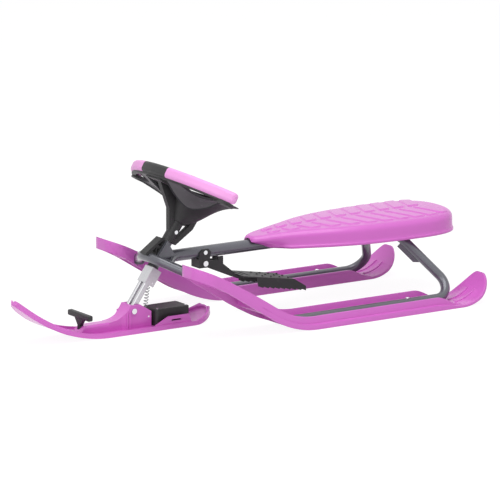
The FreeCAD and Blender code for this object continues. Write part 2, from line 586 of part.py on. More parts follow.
def head_guard():
    """The ribbed guard that stands on the hoop in front of the head tube, with its windows cut through."""
    back = S.head_diameter / 2
    foot, top, wall = S.guard_foot, S.guard_top, S.guard_wall
    low, high = S.hoop_height, S.head_top
    half = S.guard_width / 2
    outline = [(back, low), (foot, low), (foot, low + wall), (top, high), (back, high)]
    shape = slab(outline, -half, half)
    middle = (low + S.hoop_diameter / 2 + high) / 2
    lean = (foot - top) / (high - low)

    def face(height):
        return foot - lean * (height - low) - 1.5 * wall

    lower = low + S.hoop_diameter / 2 + wall
    windows = [
        [(back + wall, middle - wall), (back + wall, lower), (face(middle) - wall, middle - wall)],
        [(back + 2 * wall, lower), (face(lower), lower), (face(middle), middle - wall)],
        [(back + wall, middle + wall / 2), (face(middle), middle + wall / 2), (back + wall, high - wall)],
    ]
    for window in windows:
        shape = shape.cut(slab(window, -half - S.overrun, half + S.overrun))
    shape.Placement = STEER
    shape = shape.cut(hoop_rod).cut(head_rod)
    return max(shape.Solids, key=lambda s: s.Volume)


feature("front_hoop", front_hoop())
left_brace = brace()
feature("brace_left", left_brace)
feature("brace_right", mirrored(left_brace))
left_gusset = gusset().cut(left_brace)
feature("gusset_left", left_gusset)
feature("gusset_right", mirrored(left_gusset))
feature("head_guard", head_guard())

# Seat
SEAT_PLAN = [(S.seat_front_x, -S.seat_front_width / 2), (S.seat_front_x, S.seat_front_width / 2),
             (S.seat_wide_x, S.seat_rear_width / 2), (S.seat_rear_x, S.seat_rear_width / 2 - S.seat_rear_corner / 2),
             (S.seat_rear_x, S.seat_rear_corner / 2 - S.seat_rear_width / 2), (S.seat_wide_x, -S.seat_rear_width / 2)]
SEAT_CORNERS = [S.seat_front_corner, S.seat_front_corner, S.seat_rear_corner, S.seat_rear_corner / 2,
                S.seat_rear_corner / 2, S.seat_rear_corner]


def under_top(lift, bottom):
    """Everything between a level and the line of the seat's top, raised or lowered."""
    reach = S.seat_rear_width
    return slab([(S.seat_rear_x - S.overrun, bottom), (S.seat_rear_x - S.overrun, S.seat_rear_top + lift),
                 (S.seat_crest_x, S.seat_crest_top + lift), (S.seat_front_x + S.overrun, S.seat_front_top + lift),
                 (S.seat_front_x + S.overrun, bottom)], -reach, reach)


def seat_block(inset, bottom):
    """The seat's outer form, or the hollow in it, with its upper edge rounded."""
    outline = rounded_outline(SEAT_PLAN, SEAT_CORNERS)
    if inset:
        outline = outline.makeOffset2D(-inset)
    shape = upright(outline).common(under_top(-inset, bottom)).removeSplitter()
    tops = [f for f in shape.Faces if f.normalAt(0, 0).z > 0.9]
    rim = [e for f in tops for e in f.Edges if sum(e.isSame(o) for g in tops for o in g.Edges) == 1]
    return shape.makeFillet(S.seat_round - inset, rim)


def seat_pads():
    """Two rows of raised pads that sweep back from the seat's middle line, like the veins of a leaf."""
    pads = []
    count = int((S.pad_first_x - S.seat_wide_x) / S.pad_pitch)
    for i in range(count):
        front = S.pad_first_x - i * S.pad_pitch
        spread = (S.seat_front_x - front) / (S.seat_front_x - S.seat_wide_x)
        half = S.seat_front_width / 2 + spread * (S.seat_rear_width - S.seat_front_width) / 2
        reach = half - S.pad_margin
        sweep = (reach - S.pad_inner_gap) * S.pad_sweep_share
        points = [(front, S.pad_inner_gap), (front - S.pad_length, S.pad_inner_gap),
                  (front - S.pad_length - sweep, reach), (front - sweep, reach)]
        corner = S.pad_length / 4
        pads.append(upright(rounded_outline(points, [corner, corner, corner, corner])))
    row = Part.makeCompound(pads).common(under_top(S.pad_height, S.seat_bottom)).cut(under_top(-S.seat_wall / 2,
                                                                                           S.seat_bottom - S.overrun))
    return row.Solids + mirrored(row).Solids


seat_hollow = seat_block(S.seat_wall, S.seat_bottom - S.overrun)


def seat_shell():
    """The hollow seat, open below, with a lip round its foot and an arch in front for the beam."""
    shape = seat_block(0, S.seat_bottom)
    plan = rounded_outline(SEAT_PLAN, SEAT_CORNERS)
    lip = Part.Face(plan.makeOffset2D(S.seat_lip)).extrude(Vector(0, 0, S.seat_lip_height))
    shape = shape.fuse([lip.translated(Vector(0, 0, S.seat_bottom))] + seat_pads()).cut(seat_hollow)
    arch = bar(S.beam_diameter + 2 * S.seat_wall, Vector(S.seat_crest_x, 0, S.beam_z), Vector(0, 0, S.beam_z))
    below = Part.makeBox(-S.seat_crest_x, S.beam_diameter + 2 * S.seat_wall, S.seat_wall * 2,
                         Vector(S.seat_crest_x, -S.beam_diameter / 2 - S.seat_wall, S.beam_z - 2 * S.seat_wall))
    return shape.cut(arch).cut(below).removeSplitter()


def seat_saddle(x, half_width, rods):
    """A moulded block that fills the space between the frame and the underside of the seat's top."""
    box = Part.makeBox(S.saddle_length, 2 * half_width, S.seat_rear_top,
                       Vector(x - S.saddle_length / 2, -half_width, S.beam_z))
    shape = box.common(seat_hollow)
    for rod in rods:
        shape = shape.cut(rod)
    return shape.cut(Part.makeCompound(screw_shanks(x, half_width)))


def screw_shanks(x, half_width):
    """The places of the two screws in a saddle."""
    front = x + S.saddle_length / 2 - S.small_head
    reach = half_width - S.small_head / 2
    return [Part.makeCylinder(S.small_screw / 2, S.seat_rear_top, Vector(front, side * reach, 0)) for side in (-1, 1)]


feature("seat_shell", seat_shell())
half_saddle = S.saddle_width / 2
front_saddle = seat_saddle(S.saddle_x, half_saddle, [beam_rod])
rear_saddle = seat_saddle(S.leg_top_x, S.leg_top_y / 2, [beam_rod, cross_rod])
feature("seat_saddle_front", front_saddle)
feature("seat_saddle_rear", rear_saddle)
screws = []
for x, half in ((S.saddle_x, half_saddle), (S.leg_top_x, S.leg_top_y / 2)):
    for shank in screw_shanks(x, half):
        place = shank.CenterOfMass
        head = Part.makeCylinder(S.small_head / 2, S.small_screw / 2,
                                 Vector(place.x, place.y, S.beam_z - S.small_screw / 2))
        stem = shank.common(seat_hollow).cut(under_top(-S.seat_wall, S.seat_bottom - S.overrun).cut(seat_hollow))
        stem = stem.cut(Part.makeBox(S.sled_length, S.sled_length, S.beam_z,
                                     Vector(-S.sled_length, -S.sled_length / 2, 0)))
        screws.append(stem.fuse(head))
feature("seat_screws", Part.makeCompound(screws))

# Steering: column, wheel and grips
def raked_feature(node, shape):
    """A sub-part worked out by formula upright about the steering axis, then set on it."""
    thing = feature(node, shape)
    thing.Placement = STEER
    return thing


clamp_hole = cylinder("clamp_hole", "clamp_bolt", "2 * stem_diameter", ("0", "-stem_diameter", "clamp_height"), "Y")
column_ring = ring("column_tube", "column_diameter", "column_diameter - 2 * column_wall", "bracket_top", "socket_top")
raked("steering_column", cut("steering_column", column_ring, clamp_hole))
raked("thrust_washer", ring("thrust_washer", "head_diameter", "column_diameter", "bracket_top",
                            "bracket_top + washer_thickness"))

RIM_SAG = S.rim_front - S.rim_end
RIM_RADIUS = (S.rim_half_span ** 2 + RIM_SAG ** 2) / (2 * RIM_SAG)
RIM_CENTRE = S.rim_front - RIM_RADIUS
RIM_TURN = math.degrees(math.asin(S.rim_half_span / RIM_RADIUS))


def standing_face(points, radii):
    """A rounded outline stood up in the sled's middle plane, as a face."""
    return Part.Face(rounded_outline(points, radii).rotated(Vector(), Vector(1, 0, 0), 90))


def rim_stretch(face, start, end):
    """Part of the rim: a section at its front, turned about the rim's centre between two angles."""
    centre = Vector(RIM_CENTRE, 0, 0)
    upward = Vector(0, 0, 1)
    return face.rotated(centre, upward, start).revolve(centre, upward, end - start)


def rim_face(half_low, half_high, foot, top, corner):
    """A section of the rim, given across from its middle line and in height."""
    points = rectangle((S.rim_front + half_low, foot), (S.rim_front + half_high, top))
    return standing_face(points, [corner] * len(points))


RIM_ROUND = S.rim_width * S.rim_round_share
FULL_RIM = rim_face(-S.rim_width / 2, S.rim_width / 2, S.rim_foot, S.rim_foot + S.rim_depth, RIM_ROUND)
CORE = rim_face(-S.rim_core / 2, S.rim_core / 2, S.rim_foot - S.bowl_wall, S.rim_height + S.rim_core_top, S.rim_core / 6)
RIM_CORE = rim_stretch(CORE, -RIM_TURN, RIM_TURN)


def tilted(shape):
    """A piece of the rim tipped up at its rear, about the rim's front."""
    return shape.rotated(Vector(S.rim_front, 0, S.rim_height), Vector(0, 1, 0), S.rim_tilt)


def grip():
    """The left grip: a cover over the rim's core, open below, with a round end."""
    cover = rim_stretch(FULL_RIM, S.grip_start_angle, RIM_TURN)
    half = Part.Face(FULL_RIM.Wires[0]).common(Part.makeBox(
        S.rim_width, S.overrun, 2 * S.rim_depth, Vector(S.rim_front, -S.overrun / 2, S.rim_foot - S.rim_depth / 2)))
    turned = half.Faces[0].rotated(Vector(RIM_CENTRE, 0, 0), Vector(0, 0, 1), RIM_TURN)
    end = Vector(S.rim_end, S.rim_half_span, 0)
    cap = turned.revolve(end, Vector(0, 0, 1), 180)
    return tilted(cover).fuse(tilted(cap)).cut(tilted(RIM_CORE)).removeSplitter()


def ellipse(half_width, half_depth, centre, height):
    """A level oval about the steering axis, its long axis across the sled."""
    middle = Vector(centre, 0, height)
    return Part.Wire(Part.Ellipse(middle + Vector(0, half_width, 0), middle + Vector(half_depth, 0, 0),
                                  middle).toShape())


def bowl(inset):
    """The wheel's boat-shaped hub, or the hollow in it."""
    top = ellipse(S.bowl_half_width - inset, S.bowl_half_depth - inset, S.bowl_centre, S.rim_foot)
    shoulder = ellipse(S.shoulder_half_width - inset, S.shoulder_half_depth - inset, S.shoulder_centre,
                       S.rim_foot - S.shoulder_drop)
    waist = ellipse(S.waist_half_width - inset, S.waist_half_depth - inset, S.waist_centre, S.waist_height)
    foot = ellipse(S.hub_half_width - inset, S.hub_half_depth - inset, 0, S.stem_height + inset)
    ovals = [tilted(top), tilted(shoulder), waist, foot]
    return Part.makeLoft(ovals, True)


def steering_wheel():
    """The black moulding: rim core, front of the rim, spoke, hollow hub, stem and the stem's two ribs."""
    half_rib = S.stem_rib / 2
    radius = S.stem_diameter / 2
    back = -S.rear_rib_reach
    spoke_low = S.bowl_centre + S.bowl_half_depth - S.rim_core
    spoke = Part.makeBox(S.rim_front - spoke_low, S.spoke_width, S.rim_core,
                         Vector(spoke_low, -S.spoke_width / 2, S.rim_foot - S.rim_core + S.bowl_wall))
    rear_rib = slab([(-radius / 2, S.stem_bottom), (back / 2, S.stem_bottom), (back, S.stem_height + S.bowl_wall),
                     (back, S.waist_height + radius), (back + S.stem_rib, S.waist_height + radius),
                     (back + S.stem_rib, S.stem_height + S.bowl_wall),
                     (back / 2 + S.rim_core / 2, S.stem_bottom + radius), (-radius / 2, S.stem_bottom + radius)],
                    -half_rib, half_rib)
    front_rib = slab([(radius / 2, S.stem_bottom + S.rim_core), (S.front_rib_reach, S.keel_height),
                      (S.rim_front - S.rim_core, S.rim_foot), (radius / 2, S.rim_foot)], -half_rib, half_rib)
    pads = [Part.makeCylinder(S.rim_width, S.bowl_wall * 2,
                              Vector(S.rim_end, side * (S.rim_half_span - S.rim_width), S.rim_foot - S.bowl_wall * 2))
            for side in (-1, 1)]
    stem = Part.makeCylinder(radius, S.socket_top + S.bowl_wall - S.stem_bottom, Vector(0, 0, S.stem_bottom))
    front = rim_stretch(FULL_RIM, -S.grip_start_angle, S.grip_start_angle)
    socket = Part.makeCylinder(S.column_diameter / 2, S.socket_top - S.stem_bottom, Vector(0, 0, S.stem_bottom))
    shape = bowl(0)
    for piece in [rear_rib, front_rib] + [tilted(piece) for piece in [spoke] + pads]:
        shape = shape.fuse(piece)
    shape = shape.cut(bowl(S.bowl_wall))
    for piece in (stem, tilted(RIM_CORE), tilted(front)):
        shape = shape.fuse(piece)
    return shape.cut(socket).cut(across(S.clamp_bolt, 0, S.clamp_height, S.stem_diameter))


raked_feature("steering_wheel", steering_wheel())
left_grip = grip()
raked_feature("grip_left", left_grip)
raked_feature("grip_right", mirrored(left_grip))


def headed_pin(diameter, x, z, half_width, head, head_height, middle=0):
    """A pin across the sled with a round head outside each face that it holds."""
    pin = across(diameter, x, z, half_width, middle)
    for side in (-1, 1):
        start = Vector(x, middle + side * half_width, z)
        pin = pin.fuse(bar(head, start, start + Vector(0, side * head_height, 0)))
    return pin


raked_feature("wheel_clamp_bolt", headed_pin(S.clamp_bolt, 0, S.clamp_height, S.stem_diameter / 2, S.small_head,
                                             S.small_screw / 2))

# Fork, with its legs either side of the middle plane
LEG_OUTSIDE = S.leg_gap / 2 + S.leg_width
leg_outside = "(leg_gap / 2 + leg_width)"
bracket_front = "(leg_depth / 2 + fork_sheet)"
bracket_block = block("bracket_block", f"bracket_back + {bracket_front}", f"2 * ({leg_outside} + fork_sheet)",
                      "bracket_top - bracket_bottom",
                      ("-bracket_back", f"-{leg_outside} - fork_sheet", "bracket_bottom"))
bracket_hollow = block("bracket_hollow", "bracket_back + overrun + leg_depth / 2", f"2 * {leg_outside}",
                       "bracket_top - bracket_bottom - fork_sheet + overrun",
                       ("-bracket_back - overrun", f"-{leg_outside}", "bracket_bottom - overrun"))
bracket_holes = fuse(
    "bracket_holes", bracket_hollow,
    cylinder("crown_hole", "column_diameter - 2 * column_wall", "overrun", ("0", "0", "bracket_top - overrun")),
    cylinder("pin_hole", "spring_pin", "4 * overrun", ("-spring_pin_back", "-2 * overrun", "spring_pin_height"), "Y"))
raked("fork_bracket", cut("fork_bracket", bracket_block, bracket_holes))


def fork_leg():
    """The left leg: a bar with rounded long edges, a round foot and the pivot's eye."""
    half = S.leg_depth / 2
    low = Vector(-half, S.leg_gap / 2, 0)
    post = Part.makeBox(S.leg_depth, S.leg_width, S.fork_leg_top, low)
    foot = bar(S.leg_depth, Vector(0, S.leg_gap / 2, 0), Vector(0, LEG_OUTSIDE, 0))
    shape = post.fuse(foot).removeSplitter()
    long_edges = [e for e in shape.Edges if abs(e.tangentAt(e.FirstParameter).z) > 0.9 and e.Length > S.leg_depth * 2]
    shape = shape.makeFillet(S.leg_width / 4, long_edges)
    return shape.cut(across(S.pivot_bolt, 0, 0, S.leg_width, S.leg_gap / 2 + S.leg_width / 2))


left_leg = fork_leg()
raked_feature("fork_leg_left", left_leg)
raked_feature("fork_leg_right", mirrored(left_leg))
crown_head = cylinder("crown_head", "bolt_head", "bolt_head_height / 2",
                      ("0", "0", "bracket_top - fork_sheet - bolt_head_height / 2"))
crown_shank = cylinder("crown_shank", "column_diameter - 2 * column_wall", "overrun + fork_sheet",
                       ("0", "0", "bracket_top - fork_sheet"))
raked("crown_bolt", fuse("crown_bolt", crown_head, crown_shank))
HOUSE_HALF = S.house_width / 2
PIVOT_HALF = HOUSE_HALF + S.clear_gap
raked_feature("ski_pivot_bolt", headed_pin(S.pivot_bolt, 0, 0, PIVOT_HALF, S.bolt_head, S.bolt_head_height * 0.6))
sleeve_end = HOUSE_HALF - S.house_wall - S.clear_gap
sleeves = []
for side in (-1, 1):
    inner_end, outer_end = Vector(0, side * LEG_OUTSIDE, 0), Vector(0, side * sleeve_end, 0)
    sleeves.append(bar(S.bolt_head, inner_end, outer_end).cut(bar(S.pivot_bolt, inner_end, outer_end)))
raked_feature("pivot_sleeves", Part.makeCompound(sleeves))

# Suspension spring between a pin in the fork bracket and a pin in the front ski
SPRING_TOP = steered(-S.spring_pin_back, 0, S.spring_pin_height)
SPRING_FOOT = Vector(S.spring_foot_x, 0, S.spring_foot_z)
SPRING_RUN = (SPRING_TOP - SPRING_FOOT).normalize()
spring_base = SPRING_FOOT + SPRING_RUN * (S.spring_seat + S.spring_wire)
spring_length = (SPRING_TOP - SPRING_FOOT).Length - 2 * (S.spring_seat + S.spring_wire)
spring = coil("suspension_spring", S.spring_diameter, S.spring_wire, S.spring_turns, spring_length)
spring_node = feature("suspension_spring", spring)
spring_node.Placement = Placement(spring_base, Rotation(Vector(0, 0, 1), SPRING_RUN))
for node, place, ahead in (("spring_seat_upper", SPRING_TOP, SPRING_RUN * -1), ("spring_seat_lower", SPRING_FOOT,
                                                                             SPRING_RUN)):
    seat = bar(S.spring_diameter, place - ahead * S.spring_pin, place + ahead * S.spring_seat)
    feature(node, seat.cut(across(S.spring_pin, place.x, place.z, S.spring_diameter)))
feature("spring_pin_upper", across(S.spring_pin, SPRING_TOP.x, SPRING_TOP.z, LEG_OUTSIDE + S.fork_sheet))
feature("spring_pin_lower", across(S.spring_pin, SPRING_FOOT.x, SPRING_FOOT.z, HOUSE_HALF))

# Front ski, with the fork's housing, the rope's tunnel and the reel's side tabs
LEAD_ANGLE = math.degrees(math.asin(S.lead_rise_share))
LEAD = Runner(S.lead_rear_x, S.lead_heel_start, S.lead_heel_radius, S.lead_rise_start, S.lead_rise_radius,
              LEAD_ANGLE, S.half_length)


def lead_outline(inset):
    """The front ski from above: straight sides, a long oval nose and a short oval heel."""
    half = S.lead_width / 2 - inset
    nose, heel = S.lead_nose_length - inset, S.lead_heel_length - inset
    front, rear = S.half_length - S.lead_nose_length, S.lead_rear_x + S.lead_heel_length
    arcs = []
    for x, reach in ((front, nose), (rear, heel)):
        oval = Part.Ellipse(Vector(x + reach, 0, 0), Vector(x, half, 0), Vector(x, 0, 0))
        quarter = math.pi / 2
        span = (-quarter, quarter) if x == front else (quarter, 3 * quarter)
        arcs.append(Part.ArcOfEllipse(oval, *span).toShape())
    sides = [Part.makeLine(Vector(rear, side * half, 0), Vector(front, side * half, 0)) for side in (-1, 1)]
    return Part.Wire(Part.__sortEdges__(arcs + sides))


def fork_house():
    """The block round the fork's foot, whose front sweeps down and narrows into the rope's tunnel."""
    deep = S.lead_sole / 2
    run, fall = S.house_front_x - S.house_crown_x, S.house_top - S.tunnel_top
    radius = (run ** 2 + fall ** 2) / (2 * fall)
    half_turn = math.asin(run / radius) / 2
    middle = Vector(S.house_front_x - radius * math.sin(half_turn), 0,
                    S.tunnel_top + radius - radius * math.cos(half_turn))
    crown = Vector(S.house_crown_x, 0, S.house_top)
    front = Vector(S.house_front_x, 0, S.tunnel_top)
    corners = [front, Vector(front.x, 0, deep), Vector(S.house_rear_x, 0, deep),
               Vector(S.house_rear_x, 0, S.house_heel_z), Vector(S.house_shoulder_x, 0, S.house_top), crown]
    edges = [Part.makeLine(a, b) for a, b in zip(corners, corners[1:])]
    side = Part.Face(Part.Wire(edges + [Part.Arc(crown, middle, front).toShape()]))
    block_shape = side.extrude(Vector(0, S.house_width, 0)).translated(Vector(0, -HOUSE_HALF, 0))
    narrow = S.tunnel_width / 2
    plan = [Vector(S.house_rear_x, -HOUSE_HALF, 0), Vector(S.house_cheek_x, -HOUSE_HALF, 0),
            Vector(S.house_nose_x, -narrow, 0), Vector(S.house_front_x, -narrow, 0)]
    plan += [Vector(v.x, -v.y, 0) for v in plan[::-1]]
    return block_shape.common(upright(Part.makePolygon(plan + plan[:1])))


def front_ski():
    """The steering ski, one moulding."""
    half = S.lead_width / 2
    deep = S.lead_sole / 2
    plan, inside = upright(lead_outline(0)), upright(lead_outline(S.lead_wall))
    shape = LEAD.band(0, S.lead_sole, -half, half).common(plan)
    shape = shape.fuse(LEAD.band(0, S.lead_rim, -half, half).common(plan.cut(inside)))
    nose = slice_between(S.half_length - S.lead_nose_length - S.overrun, S.half_length - S.overrun).common(inside)
    for i in range(-2, 3):
        middle = i * S.nose_rib_pitch
        edge = S.nose_rib_width / 2
        rib = LEAD.band(deep, S.lead_sole + S.nose_rib_height, middle - edge, middle + edge)
        shape = shape.fuse(rib.common(nose))
    house = fork_house()
    lip = S.tunnel_top - S.lead_sole
    tunnel = slab([(S.house_crown_x, deep), (S.house_crown_x, S.tunnel_top), (S.tunnel_front_x - lip, S.tunnel_top),
                   (S.tunnel_front_x, S.lead_sole), (S.tunnel_front_x, deep)],
                  -S.tunnel_width / 2, S.tunnel_width / 2)
    tunnel = tunnel.makeFillet(S.tunnel_width / 6, [e for e in tunnel.Edges if e.Length > lip and
                                                    abs(e.CenterOfMass.y) > S.lead_sole and
                                                    e.CenterOfMass.z > S.lead_sole * 2])
    shape = shape.fuse([house, tunnel])
    for side in (-1, 1):
        for x in (S.house_cheek_x, S.house_cheek_x - S.house_rib_pitch):
            shape = shape.fuse(Part.makeCylinder(S.house_rib, S.pivot_z - deep, Vector(x, side * HOUSE_HALF, deep)))
        low = side * S.tab_offset - S.tab_thickness / 2
        lean = S.tab_height - S.lead_rim
        tab = slab([(S.tab_rear_x, deep), (S.tab_rear_x + lean / 2, S.tab_height),
                    (S.tab_front_x - 2 * lean, S.tab_height), (S.tab_front_x, S.lead_rim), (S.tab_front_x, deep)],
                   low, low + S.tab_thickness)
        slot = Part.makeBox(S.tab_slot, S.lead_width, S.tab_thickness,
                            Vector(S.reel_x - S.tab_slot / 2, -S.lead_width / 2, S.tab_height / 2 + deep))
        shape = shape.fuse(tab.cut(slot))
    wall_x = S.pivot_x + S.leg_depth
    rise = S.house_top + S.overrun - S.pivot_z
    back = S.house_rear_x - S.overrun
    inside_half = HOUSE_HALF - S.house_wall
    hollow = slab([(back, S.lead_sole), (back, S.pivot_z + rise),
                   (wall_x - rise * math.tan(math.radians(S.rake)), S.pivot_z + rise), (wall_x, S.pivot_z),
                   (wall_x, S.lead_sole)], -inside_half, inside_half)
    socket = Part.makeCylinder(S.handle_plug / 2 + S.clear_gap, S.house_top,
                               Vector(S.handle_x, 0, S.handle_bottom - S.clear_gap))
    rope_bore = bar(S.lead_sole, Vector(S.house_rear_x, 0, S.tunnel_top / 2), Vector(S.handle_x, 0, S.tunnel_top / 2))
    holes = [hollow, socket, rope_bore, LEAD.band(-S.overrun, 0, -half, half),
             across(S.pivot_bolt + 2 * S.running_fit, S.pivot_x, S.pivot_z, S.lead_width),
             across(S.spring_pin, S.spring_foot_x, S.spring_foot_z, HOUSE_HALF)]
    for hole in holes:
        shape = shape.cut(hole)
    return shape.removeSplitter()


feature("front_ski", front_ski())


def tow_handle():
    """The T-shaped handle: a plug in the tunnel's socket, a waisted stem that spreads, and a rounded bar."""
    base = Vector(S.handle_x, 0, S.handle_bottom)
    neck = S.tunnel_top - S.handle_bottom
    plug = Part.makeCylinder(S.handle_plug / 2, neck, base)
    stem = Part.makeCylinder(S.handle_waist / 2, S.handle_z - S.handle_bottom, base)
    half = S.handle_bar / 2
    grip_bar = Part.makeBox(S.handle_bar, S.handle_span, S.handle_bar,
                            Vector(S.handle_x - half, -S.handle_span / 2, S.handle_z - half))
    grip_bar = grip_bar.makeFillet(half / 2, grip_bar.Edges)
    flare = [(S.handle_waist / 2, S.handle_bottom + neck), (S.handle_span / 4, S.handle_z), ]
    corners = [Vector(S.handle_x - S.handle_waist / 2, y, z) for y, z in flare]
    corners += [Vector(v.x, -v.y, v.z) for v in corners[::-1]]
    web = Part.Face(Part.makePolygon(corners + corners[:1])).extrude(Vector(S.handle_waist, 0, 0))
    return plug.fuse([stem, web, grip_bar]).removeSplitter()


feature("tow_handle", tow_handle())

# Reel that winds the rope in, behind the fork
REEL_LOW = (S.reel_x - S.reel_length / 2, -S.reel_width / 2)
REEL_HIGH = (S.reel_x + S.reel_length / 2, S.reel_width / 2)
DRUM_LOW = S.lead_sole + S.reel_wall + S.clear_gap


def reel_case(low, high):
    """A round-cornered block of the reel box's outline between two levels."""
    outline = rounded_outline(rectangle(REEL_LOW, REEL_HIGH), [S.reel_corner] * 4)
    return Part.Face(outline).extrude(Vector(0, 0, high - low)).translated(Vector(0, 0, low))


def on_reel(diameter, low, high):
    """A round bar on the reel's upright axis."""
    return Part.makeCylinder(diameter / 2, high - low, Vector(S.reel_x, 0, low))


def reel_spots():
    """The places of the four screws in the reel box."""
    inset = S.reel_corner
    return [(x, y) for x in (REEL_LOW[0] + inset, REEL_HIGH[0] - inset) for y in (REEL_LOW[1] + inset,
                                                                                REEL_HIGH[1] - inset)]


def reel_spring():
    """A flat spring wound in half turns between the axle and the drum's recess."""
    pitch = (S.drum_core - S.axle_diameter) / (2 * S.reel_spring_turns + 1)
    thick = pitch / 3
    walls = []
    for extra in (0, thick):
        edges = []
        for i in range(int(2 * S.reel_spring_turns) - 1):
            way = 1 if i % 2 == 0 else -1
            radius = S.axle_diameter / 2 + pitch / 2 + i * pitch / 2 + extra
            centre = Vector(way * pitch / 4, 0, 0)
            edges.append(Part.Arc(centre + Vector(-way * radius, 0, 0), centre + Vector(0, way * radius, 0),
                                  centre + Vector(way * radius, 0, 0)).toShape())
        walls.append(edges)
    first, last = walls[0][0], walls[0][-1]
    far_first, far_last = walls[1][0], walls[1][-1]
    ends = [Part.makeLine(first.valueAt(first.FirstParameter), far_first.valueAt(far_first.FirstParameter)),
            Part.makeLine(last.valueAt(last.LastParameter), far_last.valueAt(far_last.LastParameter))]
    strip = Part.Face(Part.Wire(Part.__sortEdges__(walls[0] + walls[1] + ends)))
    top = DRUM_LOW + S.drum_height
    height = S.drum_height / 3
    return strip.extrude(Vector(0, 0, height)).translated(Vector(S.reel_x, 0, top - height))


reel_holes = Part.makeCompound([Part.makeCylinder(S.small_screw / 4, S.reel_top, Vector(x, y, 0))
                                for x, y in reel_spots()])
chamber = on_reel(S.drum_diameter + 2 * S.clear_gap, S.lead_sole + S.reel_wall, S.reel_base_top)
inlet = bar(S.lead_sole, Vector(S.reel_x, 0, S.tunnel_top / 2), Vector(REEL_HIGH[0] + S.overrun, 0, S.tunnel_top / 2))
screw_foot = S.lead_sole + S.reel_wall
feature("reel_base", reel_case(S.lead_sole, S.reel_base_top).cut(chamber).cut(inlet).cut(
    reel_holes.translated(Vector(0, 0, screw_foot))))
lid = reel_case(S.reel_base_top, S.reel_top)
lid = lid.makeFillet(S.reel_wall, [e for e in lid.Edges if e.BoundBox.ZMin > S.reel_top - S.clear_gap])
feature("reel_lid", lid.cut(reel_holes))
feature("reel_axle", on_reel(S.axle_diameter, S.lead_sole + S.reel_wall, S.reel_base_top))
drum_top = DRUM_LOW + S.drum_height
drum = on_reel(S.drum_diameter, DRUM_LOW, drum_top)
groove = on_reel(S.drum_diameter + S.overrun, DRUM_LOW + S.reel_wall, drum_top - S.reel_wall * 2)
drum = drum.cut(groove.cut(on_reel(S.drum_core + 2 * S.reel_wall, DRUM_LOW, drum_top)))
drum = drum.cut(on_reel(S.drum_core, drum_top - S.drum_height / 3, drum_top))
feature("reel_drum", drum.cut(on_reel(S.axle_diameter + 2 * S.running_fit, DRUM_LOW, drum_top)))
feature("reel_spring", reel_spring())
feature("reel_screws", Part.makeCompound([
    Part.makeCylinder(S.small_screw / 4, S.reel_top - screw_foot, Vector(x, y, screw_foot)).fuse(
        Part.makeCylinder(S.small_screw / 2, S.small_screw / 4, Vector(x, y, S.reel_top))) for x, y in reel_spots()]))

# Foot brake under the main beam
CHEEK_IN = "(beam_diameter / 2 + clear_gap)"
cheek_points = [("brake_x - brake_cheek_width / 2", "brake_cheek_high - brake_cheek_width / 4"),
                ("brake_x - brake_cheek_width / 4", "brake_cheek_high"),
                ("brake_x + brake_cheek_width / 4", "brake_cheek_high"),
                ("brake_x + brake_cheek_width / 2", "brake_cheek_high - brake_cheek_width / 4"),
                ("brake_x + brake_cheek_width / 2", "brake_cheek_low"),
                ("brake_x - brake_cheek_width / 4", "brake_cheek_low")]
cheeks = [side_plate(f"brake_cheek_{i}", cheek_points, "brake_cheek", f"{sign}({CHEEK_IN} + brake_cheek / 2)")
          for i, sign in enumerate(("", "-"))]
bridge = block("brake_bridge", "brake_cheek", f"2 * ({CHEEK_IN} + brake_cheek)",
               "beam_z - beam_diameter / 2 - brake_cheek_low",
               ("brake_x + brake_cheek_width / 2 - brake_cheek", f"-{CHEEK_IN} - brake_cheek", "brake_cheek_low"))
bracket_pins = fuse(
    "brake_pin_holes",
    cylinder("brake_rivet_hole", "rivet_diameter", "4 * overrun", ("brake_x", "-2 * overrun", "brake_rivet_z"), "Y"),
    cylinder("brake_bolt_hole", "brake_bolt", "4 * overrun", ("brake_x", "-2 * overrun", "brake_pivot_z"), "Y"))
keep("brake_bracket", cut("brake_bracket", fuse("brake_yoke", *cheeks, bridge), bracket_pins))
CHEEK_HALF = S.beam_diameter / 2 + S.clear_gap + S.brake_cheek
feature("brake_rivet", headed_pin(S.rivet_diameter, S.brake_x, S.brake_rivet_z, CHEEK_HALF, S.rivet_head, S.rivet_dome))
feature("brake_pivot_bolt", headed_pin(S.brake_bolt, S.brake_x, S.brake_pivot_z, CHEEK_HALF, S.bolt_head,
                                       S.bolt_head_height * 0.6))


def pedal_under(x):
    """The level of the pedal plate's underside."""
    slope = (S.pedal_front_z - S.pedal_rear_z) / (S.pedal_front_x - S.pedal_rear_x)
    return S.pedal_rear_z + slope * (x - S.pedal_rear_x) - S.pedal_sheet


def brake_arm():
    """The left arm: an eye on the pivot, a hook post on its back, and a tail welded under the pedal."""
    half = S.brake_arm_depth / 2
    inside = S.brake_arm_gap / 2
    pivot_x, pivot_z = S.brake_x, S.brake_pivot_z
    tail_x = (S.pedal_front_x + S.pedal_rear_x) / 2
    post_x = (pivot_x + S.pedal_front_x) / 2
    outline = [(pivot_x, pivot_z - half), (pivot_x, pivot_z + half), (post_x + half, pivot_z + half * 0.4),
               (post_x + half, pivot_z + half * 1.6), (post_x - half, pivot_z + half * 1.6), (post_x - half, pivot_z - half),
               (S.pedal_front_x + half, pedal_under(S.pedal_front_x) + half),
               (S.pedal_front_x, pedal_under(S.pedal_front_x)), (tail_x, pedal_under(tail_x)),
               (tail_x, pedal_under(tail_x) - half), (S.pedal_front_x, pedal_under(S.pedal_front_x) - half)]
    shape = slab(outline, inside, inside + S.brake_arm)
    eye = across(S.brake_arm_depth, pivot_x, pivot_z, S.brake_arm / 2, inside + S.brake_arm / 2)
    bore = across(S.brake_bolt + 2 * S.running_fit, pivot_x, pivot_z, S.brake_arm, inside + S.brake_arm / 2)
    return shape.fuse(eye).cut(bore).removeSplitter()


